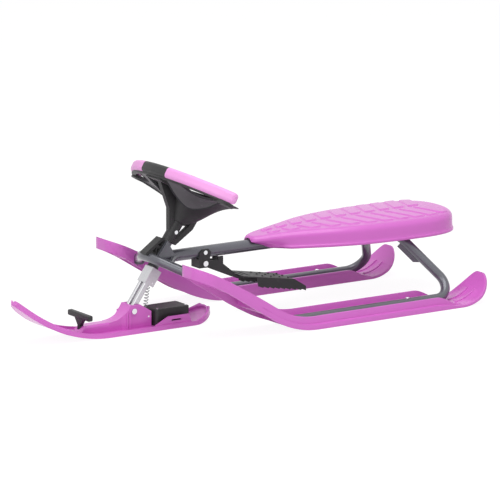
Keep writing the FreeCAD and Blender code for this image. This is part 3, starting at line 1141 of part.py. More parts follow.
def brake_pedal():
    """The studded plate with two slots, turned down at its tail and along both sides into toothed flanks."""
    half = S.pedal_width / 2
    thick = S.pedal_sheet
    top = [(S.pedal_front_x, S.pedal_front_z), (S.pedal_rear_x, S.pedal_rear_z), (S.pedal_tail_x, S.pedal_tail_z)]
    shape = slab(top + [(x, z - thick) for x, z in top[::-1]], -half, half)
    tooth = (S.flank_front_x - S.pedal_tail_x) / S.tooth_count
    fall = (S.flank_front_z - S.flank_rear_z) / (S.flank_front_x - S.pedal_tail_x)
    teeth = []
    for i in range(int(S.tooth_count)):
        x = S.pedal_tail_x + i * tooth
        teeth += [(x, S.flank_rear_z + fall * i * tooth),
                  (x + tooth * 0.8, S.flank_rear_z + fall * i * tooth + S.tooth_depth)]
    upper = [(S.flank_front_x, pedal_under(S.flank_front_x) + thick / 2),
             (S.pedal_rear_x, S.pedal_rear_z - thick / 2), (S.pedal_tail_x, S.pedal_tail_z - thick / 2)]
    for side in (-1, 1):
        low = min(side * half, side * (half - thick))
        shape = shape.fuse(slab(teeth + upper, low, low + thick))
    slot_width = S.pedal_width / 2
    for x in (S.pedal_front_x - S.stud_pitch / 3, S.pedal_front_x - S.stud_pitch):
        shape = shape.cut(Part.makeBox(S.stud_diameter, slot_width, S.pedal_front_z,
                                       Vector(x - S.stud_diameter, -slot_width / 2, pedal_under(x) - thick)))
    studs = []
    for i in range(int(S.stud_rows)):
        x = S.pedal_rear_x + S.stud_diameter + i * S.stud_pitch
        for y in (-S.stud_pitch, 0, S.stud_pitch):
            base = pedal_under(x) + thick / 2
            studs.append(Part.makeCone(S.stud_diameter / 2, S.stud_diameter / 4, S.stud_height + thick / 2,
                                       Vector(x, y, base)))
    return shape.fuse(studs).removeSplitter()


left_arm = brake_arm()
feature("brake_arm_left", left_arm)
feature("brake_arm_right", mirrored(left_arm))
feature("brake_pedal", brake_pedal())
return_height = S.brake_arm_gap - 4 * S.return_wire
brake_spring = coil("brake_return_spring", S.return_diameter, S.return_wire, S.return_turns, return_height)
spring_thing = feature("brake_return_spring", brake_spring)
spring_thing.Placement = Placement(Vector(S.brake_x, return_height / 2, S.brake_pivot_z), Rotation(Vector(1, 0, 0), 90))

# Fasteners of the rear skis
rail_top = RAIL_Z + S.rail_diameter / 2
rivets = []
bolts = []
for side in (-1, 1):
    spot = Vector(S.rivet_x, side * S.ski_offset, S.ski_groove_depth)
    shank = Part.makeCylinder(S.rivet_diameter / 2, rail_top - S.ski_groove_depth, spot)
    head = Part.makeCylinder(S.rivet_head / 2, S.rivet_dome, Vector(spot.x, spot.y, rail_top))
    rivets.append(shank.fuse(head.makeFillet(S.rivet_dome * 0.7, [head.Edges[0]])))
    tab_inside = side * (HOOP_TAB_Y - S.hoop_tab_thickness)
    wall_inside = side * (HOOP_TAB_Y + S.ski_wall)
    start, end = (Vector(S.hoop_end_x, y, S.hoop_end_z) for y in (tab_inside, wall_inside))
    way = Vector(0, side, 0)
    bolts.append(bar(S.rivet_diameter, start, end).fuse([
        bar(S.small_head, start, start - way * S.small_screw / 2),
        bar(S.bolt_head, end, end + way * S.bolt_head_height)]))
feature("ski_rivets", Part.makeCompound(rivets))
feature("hoop_bolts", Part.makeCompound(bolts))

# Check and write
doc.recompute()
for thing in doc.Objects:
    if "Invalid" in thing.State or "Error" in thing.State:
        raise RuntimeError(f"{thing.Label} did not build: {thing.State}")
os.makedirs("parts", exist_ok=True)
for node, thing in NODES.items():
    if thing.Shape.isNull() or not thing.Shape.isValid():
        raise RuntimeError(f"{node} has no valid shape")
    thing.Shape.exportStep(f"parts/{node}.step")
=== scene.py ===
from bisect import bisect
import json
import math

import bpy
from bpy.props import FloatProperty, FloatVectorProperty, PointerProperty
from mathutils import Matrix, Vector
from mathutils.kdtree import KDTree


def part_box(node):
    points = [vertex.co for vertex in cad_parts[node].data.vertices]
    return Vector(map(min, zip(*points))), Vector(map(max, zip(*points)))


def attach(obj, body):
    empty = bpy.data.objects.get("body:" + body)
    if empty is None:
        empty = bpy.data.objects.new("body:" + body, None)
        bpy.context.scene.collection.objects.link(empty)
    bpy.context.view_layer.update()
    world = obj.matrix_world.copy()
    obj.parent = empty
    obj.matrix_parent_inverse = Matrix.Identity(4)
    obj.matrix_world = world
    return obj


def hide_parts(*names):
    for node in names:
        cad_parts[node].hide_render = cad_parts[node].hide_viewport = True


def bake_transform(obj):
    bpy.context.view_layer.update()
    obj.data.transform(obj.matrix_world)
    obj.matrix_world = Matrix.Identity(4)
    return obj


bl_info = {
    "name": "Steering sled",
    "version": (1, 0, 0),
    "blender": (4, 5, 0),
    "location": "View3D > Sidebar > Sled",
    "description": "Dresses the steering sled's frame with its mouldings, finishes, studio and camera",
    "category": "Object",
}

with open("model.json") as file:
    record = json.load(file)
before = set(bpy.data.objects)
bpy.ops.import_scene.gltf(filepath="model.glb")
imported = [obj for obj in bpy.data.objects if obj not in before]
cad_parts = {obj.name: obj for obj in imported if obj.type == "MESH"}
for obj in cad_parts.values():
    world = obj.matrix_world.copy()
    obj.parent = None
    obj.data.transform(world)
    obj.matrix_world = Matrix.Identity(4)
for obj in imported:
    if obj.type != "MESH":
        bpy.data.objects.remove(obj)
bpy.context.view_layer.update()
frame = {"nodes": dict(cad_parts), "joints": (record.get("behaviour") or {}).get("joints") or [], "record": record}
NODES = frame["nodes"]


# Shader maths
class Value:
    """A socket of a node tree, with arithmetic that adds Math nodes."""

    def __init__(self, nodes, socket):
        self.nodes, self.socket = nodes, socket

    def math(self, operation, other):
        return self.nodes.node("ShaderNodeMath", {"operation": operation}, self, other)

    def __add__(self, other):
        return self.math("ADD", other)

    def __sub__(self, other):
        return self.math("SUBTRACT", other)

    def __rsub__(self, other):
        return self.nodes.node("ShaderNodeMath", {"operation": "SUBTRACT"}, other, self)

    def __mul__(self, other):
        return self.math("MULTIPLY", other)

    __radd__ = __add__
    __rmul__ = __mul__

    def above(self, low, high):
        """0 below low, 1 above high, and a smooth step between."""
        settings = {"interpolation_type": "SMOOTHSTEP"}
        return self.nodes.node("ShaderNodeMapRange", settings, self, low, high, 0.0, 1.0)


class Nodes:
    """A node tree, and the way in which nodes are added to it."""

    def __init__(self, tree):
        self.tree = tree

    def node(self, kind, settings=None, *values, out=0, **named):
        """Adds a node, sets it up, feeds its sockets in order or by name, and returns one output."""
        made = self.tree.nodes.new(kind)
        for key, setting in (settings or {}).items():
            setattr(made, key, setting)
        feeds = list(zip((s for s in made.inputs if s.enabled), values))
        feeds += [(made.inputs[key.replace("_", " ")], value) for key, value in named.items()]
        for socket, value in feeds:
            self.feed(socket, value)
        return Value(self, made.outputs[out])

    def feed(self, socket, value):
        """Links another node's output to a socket, or sets the socket's own value."""
        if isinstance(value, Value):
            self.tree.links.new(value.socket, socket)
        else:
            socket.default_value = value

    def seen(self):
        """1 where the camera or a reflection looks, and 0 for all other light."""
        camera = self.node("ShaderNodeLightPath", out="Is Camera Ray")
        return camera + self.node("ShaderNodeLightPath", out="Is Glossy Ray")


class Paint(Nodes):
    """A material and the nodes that make its finish."""

    def __init__(self, name):
        self.material = bpy.data.materials.new(name)
        self.material.use_nodes = True
        super().__init__(self.material.node_tree)
        self.shader = self.tree.nodes["Principled BSDF"]
        self.place = self.node("ShaderNodeTexCoord", out="Object")

    def noise(self, scale, detail=2.0, rough=0.5, stretch=None):
        """Cloudy noise, its scale in features per metre, stretched along an axis if asked."""
        place = self.place
        if stretch:
            place = self.node("ShaderNodeMapping", None, place, Scale=stretch)
        settings = {"Scale": scale, "Detail": detail, "Roughness": rough}
        return self.node("ShaderNodeTexNoise", None, Vector=place, **settings)

    def cells(self, scale, out="Distance"):
        """A pattern of cells, its scale in cells per metre."""
        return self.node("ShaderNodeTexVoronoi", None, Vector=self.place, Scale=scale, out=out)

    def height(self):
        """The height above the ground in metres."""
        return self.node("ShaderNodeSeparateXYZ", None, self.place, out="Z")

    def blend(self, share, low, high):
        """A colour between two others."""
        colour_result = 2
        return self.node("ShaderNodeMix", {"data_type": "RGBA"}, share, low, high, out=colour_result)

    def bump(self, relief, strength, distance):
        """A normal that follows a relief."""
        settings = {"Height": relief, "Strength": strength, "Distance": distance}
        return self.node("ShaderNodeBump", None, out="Normal", **settings)

    def finish(self, colour, rough, normal, **fixed):
        """Feeds the surface; the fixed values are the same all over and are set on the shader itself."""
        self.feed(self.shader.inputs["Base Color"], colour)
        self.feed(self.shader.inputs["Roughness"], rough)
        self.feed(self.shader.inputs["Normal"], normal)
        for name, value in fixed.items():
            self.shader.inputs[name.replace("_", " ")].default_value = value
        return self.material


def shade(colour, factor):
    """A colour made darker or lighter."""
    return tuple(min(1.0, part * factor) for part in colour[:3]) + (1.0,)


# Settings that a user would change
def colour_setting(name, description, default):
    """A colour that the panel shows."""
    return FloatVectorProperty(
        name=name, description=description, subtype="COLOR", size=4, min=0, max=1, default=default)


def length_setting(name, description, default):
    """A length in metres that the panel shows."""
    return FloatProperty(name=name, description=description, unit="LENGTH", default=default)


class SledFinish(bpy.types.PropertyGroup):
    orchid: colour_setting("Plastic", "Colour of the skis and the seat", (0.70, 0.150, 0.61, 1))
    grip: colour_setting("Grips", "Colour of the wheel's grips", (0.86, 0.36, 0.76, 1))
    tube: colour_setting("Tubes", "Colour of the painted tubes", (0.135, 0.137, 0.160, 1))
    black: colour_setting(
        "Black plastic", "Colour of the wheel, the reel box and the brake", (0.022, 0.022, 0.023, 1))
    zinc: colour_setting("Zinc", "Colour of the fork's plating", (0.62, 0.62, 0.64, 1))
    scuff: FloatProperty(
        name="Scuffs", description="How far the lower faces are scuffed", subtype="FACTOR", min=0, max=1,
        default=0.35)


class SledStudio(bpy.types.PropertyGroup):
    distance: FloatProperty(
        name="Distance", description="From the sled to the camera", unit="LENGTH", default=9.0, min=1)
    around: FloatProperty(
        name="Around", description="Turn of the camera from the left side towards the front",
        subtype="ANGLE", default=math.radians(33.6))
    above: FloatProperty(
        name="Above", description="Height of the camera as an angle", subtype="ANGLE",
        default=math.radians(11.9))
    width: length_setting("View width", "Width of what the camera sees at the sled", 1.16)
    key: FloatProperty(
        name="Key light", description="Power of the overhead light", unit="POWER", default=42)
    fill: FloatProperty(
        name="Fill light", description="Power of the light by the camera", unit="POWER", default=17)


class SledSkis(bpy.types.PropertyGroup):
    middle: length_setting("Offset", "From the sled's middle to a rear ski's", 0.186)
    half: length_setting("Half width", "Half a rear ski's width", 0.053)
    wall: length_setting("Wall", "Thickness of a rear ski's walls", 0.005)
    rim: length_setting("Rim", "Height of a rear ski's walls", 0.030)
    sole: length_setting("Sole", "Thickness of a ski's sole", 0.006)
    nose_floor: length_setting("Nose floor", "Height of the floor above the hollow nose", 0.021)
    edge: length_setting("Edge", "Rounding of the skis' edges", 0.0005)


class SledSpring(bpy.types.PropertyGroup):
    wire: length_setting("Wire", "Half the thickness of the spring's wire", 0.0008)
    seat: length_setting("Spring seat", "From a pin to the end of the spring", 0.0066)


class SledSeat(bpy.types.PropertyGroup):
    roll: length_setting("Edge roll", "Rounding of the seat's upper edge", 0.016)
    shell: length_setting("Shell", "Thickness of the seat's wall", 0.0035)
    visor: length_setting("Visor", "How far the seat's front reaches over its foot", 0.055)
    pad_rise: length_setting("Pad rise", "Height of the raised pads", 0.0026)
    pad_pitch: length_setting("Pad pitch", "From one pad to the next", 0.042)
    pad_length: length_setting("Pad length", "Length of a pad", 0.035)
    pad_sweep: FloatProperty(name="Pad sweep", description="How far the pads sweep back", default=0.34)


class SledWheel(bpy.types.PropertyGroup):
    scoop: length_setting("Scoop", "Depth of the wheel's side panels", 0.006)
    ridge: length_setting("Ridge", "Half the width of the panels' ridges", 0.0022)


# Finishes
def orchid_plastic(name, colour, scuff):
    """Gloss moulded polyethylene: faint clouding, a waxy skin with flow marks, and scuffs near the ground."""
    paint = Paint(name)
    cloud = paint.noise(scale=9, detail=3)
    flow = paint.noise(scale=60, stretch=(0.15, 1, 1))
    scratch = paint.noise(scale=420, rough=0.6, stretch=(0.02, 1, 1)).above(0.60, 0.72)
    worn = (1 - paint.height().above(0.004, 0.03)) * scratch * scuff
    body = paint.blend(cloud, shade(colour, 0.94), shade(colour, 1.05))
    body = paint.blend(worn, body, shade(colour, 1.25))
    rough = 0.24 + 0.10 * cloud + 0.30 * worn
    relief = 0.6 * flow + 0.4 * paint.noise(scale=900, detail=1)
    skin = paint.bump(relief, strength=0.10, distance=0.0004)
    return paint.finish(body, rough, skin, Coat_Weight=0.25, Coat_Roughness=0.12)


def tube_paint(name, colour):
    """Gloss powder coat on steel tube: orange peel, a fine fleck, and chips down to grey primer."""
    paint = Paint(name)
    fleck = paint.cells(scale=2600).above(0.1, 0.6)
    peel = paint.noise(scale=330)
    chips = paint.noise(scale=38, detail=5, rough=0.7).above(0.70, 0.73)
    body = paint.blend(fleck, shade(colour, 1.25), shade(colour, 0.85))
    body = paint.blend(chips, body, shade(colour, 2.2))
    rough = 0.26 + 0.10 * paint.noise(scale=24, detail=3) + 0.25 * chips
    skin = paint.bump(peel - 0.6 * chips, strength=0.16, distance=0.0005)
    return paint.finish(body, rough, skin, Metallic=0.35, Coat_Weight=0.5, Coat_Roughness=0.10)


def black_plastic(name, colour):
    """Black moulding with a spark-eroded grain and rubbed, paler high spots."""
    paint = Paint(name)
    grain = paint.cells(scale=1500)
    cloud = paint.noise(scale=22, detail=4)
    rubbed = paint.noise(scale=55, detail=4, rough=0.65).above(0.58, 0.72)
    body = paint.blend(cloud, shade(colour, 0.8), shade(colour, 1.35))
    body = paint.blend(0.35 * rubbed, body, shade(colour, 2.6))
    rough = 0.44 + 0.14 * cloud - 0.08 * rubbed
    return paint.finish(body, rough, paint.bump(grain + 0.5 * cloud, strength=0.22, distance=0.0003))


def plated(name, colour, spangle, rough_low, rough_high):
    """Zinc plate: a spangled skin with brushed streaks and dull patches."""
    paint = Paint(name)
    crystal = paint.cells(scale=spangle, out="Color")
    tone = paint.node("ShaderNodeSeparateColor", None, crystal)
    dull = paint.noise(scale=70, detail=4, rough=0.6)
    streak = paint.noise(scale=600, stretch=(1, 1, 0.04))
    body = paint.blend(tone, shade(colour, 0.96), shade(colour, 1.06))
    rough = rough_low + (rough_high - rough_low) * (0.6 * dull + 0.4 * streak)
    skin = paint.bump(streak + 0.2 * tone, strength=0.06, distance=0.0002)
    return paint.finish(body, rough, skin, Metallic=1.0)


def grip_plastic(name, colour):
    """Satin grip: a fine even stipple with a slightly polished top."""
    paint = Paint(name)
    stipple = paint.cells(scale=1100)
    cloud = paint.noise(scale=16, detail=3)
    body = paint.blend(cloud, shade(colour, 0.95), shade(colour, 1.05))
    rough = 0.40 + 0.14 * cloud
    skin = paint.bump(stipple, strength=0.14, distance=0.0003)
    return paint.finish(body, rough, skin, Coat_Weight=0.1, Coat_Roughness=0.25)


class SLED_OT_finishes(bpy.types.Operator):
    """Gives every piece of the frame its finish"""
    bl_idname = "sled.finishes"
    bl_label = "Finishes"

    def execute(self, context):
        wish = context.scene.sled_finish
        bright, dark = shade(wish.zinc, 1.25), shade(wish.zinc, 0.45)
        made = {
            "orchid_plastic": orchid_plastic("orchid_plastic", wish.orchid, wish.scuff),
            "grip_plastic": grip_plastic("grip_plastic", wish.grip),
            "frame_paint": tube_paint("frame_paint", wish.tube),
            "black_plastic": black_plastic("black_plastic", wish.black),
            # Painted light: the side panels are the same black plastic as the wheel, made four times as bright to
            # paint in the light bounced up from the floor onto their shaded faces
            "wheel_panel": black_plastic("wheel_panel", shade(wish.black, 4.0)),
            "bearing_plastic": black_plastic("bearing_plastic", shade(wish.black, 1.8)),
            "zinc_steel": plated("zinc_steel", wish.zinc, spangle=420, rough_low=0.26, rough_high=0.46),
            "bright_fasteners": plated(
                "bright_fasteners", bright, spangle=900, rough_low=0.16, rough_high=0.32),
            "spring_steel": plated("spring_steel", dark, spangle=1500, rough_low=0.30, rough_high=0.5),
        }
        for entry in frame["record"]["subparts"]:
            thing = NODES[entry["node"]]
            thing.data.materials.clear()
            thing.data.materials.append(made[entry["material_slot"]])
        return {"FINISHED"}


# Shapes that the pieces share
UP = Vector((0, 0, 1))


def along_arc(centre, radius, turn, up=1):
    """A point of an arc and the direction away from the ground there, in the side view."""
    way = Vector((-math.sin(turn), 0, math.cos(turn)))
    return centre - up * radius * way, way


class SoleLine:
    """The side view of a ski's sole: a curled heel, a flat run, a rising arc, a slope and a crown."""

    def __init__(self, heel_x, heel_radius, heel_share, rise_x, rise_radius, rise_angle, tip_x,
                 crown_radius=0.0, tip_angle=0.0):
        self.heel_turn = math.asin(heel_share)
        self.heel = Vector((heel_x + heel_radius * heel_share, 0, heel_radius))
        self.rise = Vector((rise_x, 0, rise_radius))
        self.angle, self.tip_angle, self.crown_radius = rise_angle, tip_angle, crown_radius
        arc_end = rise_x + rise_radius * math.sin(rise_angle)
        crown = crown_radius * (math.sin(rise_angle) - math.sin(tip_angle))
        slope = max(0.0, (tip_x - crown - arc_end) / math.cos(rise_angle))
        self.runs = [heel_radius * self.heel_turn, rise_x - self.heel.x, rise_radius * rise_angle, slope,
                     crown_radius * (rise_angle - tip_angle)]
        self.length = sum(self.runs)

    def place(self, distance):
        """The sole's point at a distance from the heel, and the way up from it."""
        heel, flat, rise, slope, crown = self.runs
        if distance < heel:
            return along_arc(self.heel, self.heel.z, distance / self.heel.z - self.heel_turn)
        distance -= heel
        if distance < flat:
            return Vector((self.heel.x + distance, 0, 0)), UP
        distance -= flat
        if distance < rise:
            return along_arc(self.rise, self.rise.z, distance / self.rise.z)
        distance -= rise
        top, way = along_arc(self.rise, self.rise.z, self.angle)
        onward = Vector((way.z, 0, -way.x))
        if distance < slope or not crown:
            return top + onward * distance, way
        centre = top + onward * slope - way * self.crown_radius
        turn = max(self.tip_angle, self.angle - (distance - slope) / self.crown_radius)
        return along_arc(centre, self.crown_radius, turn, -1)

    def where(self, x):
        """The distance from the heel at which the sole reaches a place along the sled."""
        low, high = 0.0, self.length
        for _ in range(40):
            middle = (low + high) / 2
            low, high = (middle, high) if self.place(middle)[0].x < x else (low, middle)
        return low


def ramp(value, low, high):
    """0 below low, 1 above high, and a smooth step between."""
    share = min(1.0, max(0.0, (value - low) / (high - low)))
    return share * share * (3 - 2 * share)


def round_end(distance, half, radius):
    """Half the width of an outline at a distance from its square end with rounded corners."""
    if distance >= radius:
        return half
    return half - radius + math.sqrt(max(0.0, radius ** 2 - (radius - max(0.0, distance)) ** 2))


def curve(a, b, c, d, t):
    """A place between b and c on the smooth curve through four points."""
    return b + 0.5 * t * (c - a + t * (2 * a - 5 * b + 4 * c - d + t * (3 * (b - c) + d - a)))


def circle(count):
    """The cosine and sine of equal turns round a circle."""
    turns = (2 * math.pi * k / count for k in range(count))
    return [(math.cos(turn), math.sin(turn)) for turn in turns]


def shares(count):
    """Even steps from 0 to 1."""
    return [k / count for k in range(count + 1)]


# Steps in edit mode that the pieces share
SELECT_ALL = (bpy.ops.mesh.select_all, {"action": "SELECT"})
SELECT_NONE = (bpy.ops.mesh.select_all, {"action": "DESELECT"})
EDGE_MODE = (bpy.ops.mesh.select_mode, {"type": "EDGE"})
SELECT_RIM = (bpy.ops.mesh.select_non_manifold, {
    "extend": False, "use_wire": False, "use_multi_face": False, "use_non_contiguous": False,
    "use_verts": False})
FACE_OUT = (bpy.ops.mesh.normals_make_consistent, {"inside": False})


def pick(piece):
    """Makes a piece the active one and the only one selected."""
    bpy.ops.object.select_all(action="DESELECT")
    piece.select_set(True)
    bpy.context.view_layer.objects.active = piece


def fresh(name, add, **settings):
    """Adds a primitive with nothing else selected and names it."""
    bpy.ops.object.select_all(action="DESELECT")
    add(**settings)
    bpy.context.object.name = name
    return bpy.context.object


def edit(piece, *steps):
    """Runs edit-mode steps on a piece, each an operator with its settings."""
    pick(piece)
    bpy.ops.object.mode_set(mode="EDIT")
    for operator, settings in steps:
        operator(**settings)
    bpy.ops.object.mode_set(mode="OBJECT")


def modify(piece, kind, **settings):
    """Adds a modifier, sets it and applies it."""
    bpy.context.view_layer.objects.active = piece
    modifier = piece.modifiers.new(kind.title(), kind)
    for key, value in settings.items():
        setattr(modifier, key, value)
    bpy.ops.object.modifier_apply(modifier=modifier.name)


def carve(piece, tool):
    """Cuts a piece by another, and removes the other."""
    modify(piece, "BOOLEAN", object=tool, operation="DIFFERENCE", solver="EXACT")
    bpy.data.objects.remove(tool)


def sweep(name, stations, section):
    """A closed skin through one section per station, each a list of points in the same order."""
    rings = [section(station) for station in stations]
    columns, rows = len(rings) - 1, len(rings[0])
    piece = fresh(name, bpy.ops.mesh.primitive_grid_add, x_subdivisions=columns, y_subdivisions=rows, size=2)
    for vertex in piece.data.vertices:
        column = round((vertex.co.x + 1) / 2 * columns)
        row = round((vertex.co.y + 1) / 2 * rows)
        vertex.co = rings[column][row % rows]
    edit(piece, SELECT_ALL, (bpy.ops.mesh.remove_doubles, {"threshold": 1e-6}), SELECT_NONE, EDGE_MODE,
         SELECT_RIM, (bpy.ops.mesh.fill_holes, {"sides": 0}), SELECT_ALL, FACE_OUT)
    return piece


def soften(piece, width, angle=35, segments=2):
    """Rounds the sharp edges of a piece and shades it smooth between them."""
    sharp = math.radians(angle)
    modify(piece, "BEVEL", width=width, segments=segments, limit_method="ANGLE", angle_limit=sharp,
           use_clamp_overlap=False, harden_normals=False)
    pick(piece)
    bpy.ops.object.shade_smooth_by_angle(angle=sharp)


def mirror_copy(piece, name):
    """A copy of a piece on the other side of the sled."""
    pick(piece)
    bpy.ops.object.duplicate()
    copy = bpy.context.object
    copy.name = name
    bpy.ops.transform.mirror(
        orient_type="GLOBAL", constraint_axis=(False, True, False), center_override=(0, 0, 0))
    bpy.ops.object.transform_apply(location=True, rotation=True, scale=True)
    edit(copy, SELECT_ALL, FACE_OUT)
    return copy


def dress(piece, slot, *nodes, finish=None):
    """Gives a piece its finish, and hides the CAD nodes that it stands for."""
    piece.data.materials.clear()
    piece.data.materials.append(bpy.data.materials[finish or slot])
    if nodes:
        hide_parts(*nodes)


def settle(piece, body, slot, *nodes, finish=None):
    """Dresses a piece and lets it ride on a body."""
    dress(piece, slot, *nodes, finish=finish)
    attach(piece, body)


# Rear skis
def stepped(level, *steps):
    """Points across a section at one level, with steps to levels of their own."""
    points = []
    for start, end, height in steps:
        points += [(start, level), (start, height), (end, height), (end, level)]
    return points


class RearSki:
    """The left rear ski's section at each place along the sled."""
    nose_start = 0.0
    cross_walls = (nose_start, 0.070, 0.172)
    rail_channel = (-0.420, -0.052)
    paddle_ribs = (-0.560, -0.497)
    groove_start = -0.493
    heel_corner, tip_corner = 0.046, 0.042
    ledge_width, ledge_height = 0.009, 0.013
    rail_gap, rib, rib_height = 0.0114, 0.004, 0.015
    paddle_rise, groove_depth = 0.0025, 0.0025
    keel, keel_depth = (0.006, 0.010), 0.013
    groove = (0.0145, 0.0255)
    nose_drop, wall_drop = 0.002, 0.007
    rim_run, nose_run, upright_run = (-0.495, -0.425), (-0.12, 0.08), (0.08, 0.20)
    drop_run, drop_end = (-0.02, 0.10), (0.02, 0.06)
    jump, least = 0.0012, 1e-6

    def __init__(self, wish):
        self.wish = wish
        low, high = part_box("rear_ski_left")
        self.heel, self.tip = low[0], high[0]
        self.line = SoleLine(
            self.heel, heel_radius=0.095, heel_share=0.9474, rise_x=-0.085, rise_radius=0.232,
            rise_angle=math.radians(32), tip_x=self.tip, crown_radius=0.460, tip_angle=math.radians(20))
        self.walls = [(x, x + wish.wall) for x in self.cross_walls]
        self.groove_end = self.nose_start - wish.wall

    def levels(self, x, ending):
        """The heights in the section: rim, ledge, floor, ribs, underside, keels and grooves."""
        wish = self.wish
        tall, nose = ramp(x, *self.rim_run), ramp(x, *self.nose_run)
        rim = wish.sole + (wish.rim - self.nose_drop * nose - wish.sole) * tall
        ledge = wish.sole + (self.ledge_height - wish.sole) * tall
        in_wall = any(start - self.least < x < end + self.least for start, end in self.walls)
        hollow = x > self.nose_start and not in_wall
        floor = wish.sole + (wish.nose_floor if x > self.nose_start else 0.0)
        if ending:
            top = max(rim, floor)
            return top, top, top, top, 0.0, 0.0, 0.0
        in_channel = self.rail_channel[0] < x < self.rail_channel[1]
        in_paddle = self.paddle_ribs[0] < x < self.paddle_ribs[1]
        ribs = max(self.rib_height if in_channel else floor,
                   wish.sole + self.paddle_rise if in_paddle else floor)
        under = wish.nose_floor if hollow else 0.0
        keel = under - self.keel_depth if hollow else 0.0
        groove = self.groove_depth if self.groove_start < x < self.groove_end else under
        return rim, ledge, floor, ribs, under, keel, groove

    def section(self, station):
        """The ring of points at a place along the sled."""
        x, distance, ending = station
        half, wall = self.wish.half, self.wish.wall
        rim, ledge, floor, ribs, under, keel, groove = self.levels(x, ending)
        spot, way = self.line.place(distance)
        way = way.lerp(UP, ramp(x, *self.upright_run))
        hang = -self.wall_drop * ramp(x, *self.drop_run) * ramp(self.tip - x, *self.drop_end)
        edge = half - self.ledge_width * (1 - ramp(x, *self.nose_run))
        gap, rib = self.rail_gap, self.rail_gap + self.rib
        points = [(half, 0), (half, ledge), (edge, ledge), (edge, rim), (edge - wall, rim),
                  (edge - wall, floor)]
        points += stepped(floor, (rib, gap, ribs), (-gap, -rib, ribs))
        points += [(wall - half, floor), (wall - half, rim), (-half, rim), (-half, hang), (wall - half, hang),
                   (wall - half, under)]
        (keel_in, keel_out), (groove_in, groove_out) = self.keel, self.groove
        points += stepped(under, (-groove_out, -groove_in, groove), (-keel_out, -keel_in, keel),
                          (keel_in, keel_out, keel), (groove_in, groove_out, groove))
        points += [(edge - wall, under), (edge - wall, 0)]
        narrow = min(round_end(x - self.heel, half, self.heel_corner),
                     round_end(self.tip - x, half, self.tip_corner)) / half
        return [spot + way * lift + Vector((0, self.wish.middle + y * narrow, 0)) for y, lift in points]

    def stations(self):
        """Where the sections lie: an even row, closer ones round the ends, and pairs at each step."""
        heel, tip, wall, jump = self.heel, self.tip, self.wish.wall, self.jump
        places = {heel, heel + wall - jump, heel + wall, tip - wall, tip - wall + jump, tip - 1e-5}
        before = [self.paddle_ribs[0], self.rail_channel[0], self.groove_end]
        after = [self.paddle_ribs[1], self.rail_channel[1], self.groove_start]
        for start, end in self.walls:
            before.append(start)
            after.append(end)
        places |= {x - step for x in before for step in (0, jump)}
        places |= {x + step for x in after for step in (0, jump)}
        corner_steps = 26
        for step in range(1, corner_steps):
            share = 1 - math.cos(step / corner_steps * math.pi / 2)
            places |= {heel + self.heel_corner * share, tip - self.tip_corner * share}
        row_start, row_length, row_steps = -0.54, 0.75, 110
        places |= {row_start + row_length * step / row_steps for step in range(row_steps + 1)}
        first, last = heel + wall - jump / 2, tip - wall + jump / 2
        return [(x, self.line.where(x), x < first or x > last) for x in sorted(places)]


class SLED_OT_rear_skis(bpy.types.Operator):
    """Moulds the two rear skis"""
    bl_idname = "sled.rear_skis"
    bl_label = "Rear skis"

    def execute(self, context):
        wish = context.scene.sled_skis
        ski = RearSki(wish)
        left = sweep("rear_ski_left_moulding", ski.stations(), ski.section)
        soften(left, wish.edge)
        right = mirror_copy(left, "rear_ski_right_moulding")
        settle(left, "frame", "orchid_plastic", "rear_ski_left")
        settle(right, "frame", "orchid_plastic", "rear_ski_right")
        return {"FINISHED"}


# Front ski: a lip's section, as places out from the edge of the sole and up from it
LIP_SECTION = ((0.0006, -0.0003), (0.0006, 0.0100), (0.0001, 0.0116), (-0.0010, 0.0124), (-0.0026, 0.0124),
               (-0.0037, 0.0116), (-0.0042, 0.0100), (-0.0042, 0.0050), (-0.0042, 0.0010), (-0.0018, -0.0003))


class SLED_OT_front_ski_lips(bpy.types.Operator):
    """Carries the front ski's rim round its nose and its heel"""
    bl_idname = "sled.front_ski_lips"
    bl_label = "Front ski lips"

    def execute(self, context):
        low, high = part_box("front_ski")
        heel_x, tip_x, half = low[0], high[0], high[1]
        rise_x, rise_radius = 0.353, 0.330
        line = SoleLine(
            heel_x, heel_radius=0.100, heel_share=0.66, rise_x=rise_x, rise_radius=rise_radius,
            rise_angle=math.asin((tip_x - rise_x) / rise_radius), tip_x=tip_x)
        limit, fade, inset = math.radians(88), 0.12, 0.0006
        turns = [limit * (2 * share - 1) for share in shares(72)]
        for name, end, reach in (("nose", tip_x, 0.135), ("heel", heel_x, -0.062)):

            def ring(turn, end=end, reach=reach):
                x, y = end - reach * (1 - math.cos(turn)), half * math.sin(turn)
                spot, way = line.place(line.where(x))
                onward = Vector((way.z, 0, -way.x))
                out = onward * math.cos(turn) / reach + Vector((0, math.sin(turn) / half, 0))
                out.normalize()
                swell = ramp(limit - abs(turn), 0.0, fade)
                sunk = inset * (1 - swell)
                base = spot + Vector((0, y, 0))
                return [base + out * (beyond * swell - sunk if beyond > 0 else beyond)
                        + way * (lift * (0.8 + 0.2 * swell) + sunk) for beyond, lift in LIP_SECTION]

            lip = sweep(f"front_ski_{name}_lip", turns, ring)
            soften(lip, width=0.0002, angle=50, segments=1)
            settle(lip, "front_ski", "orchid_plastic")
        return {"FINISHED"}


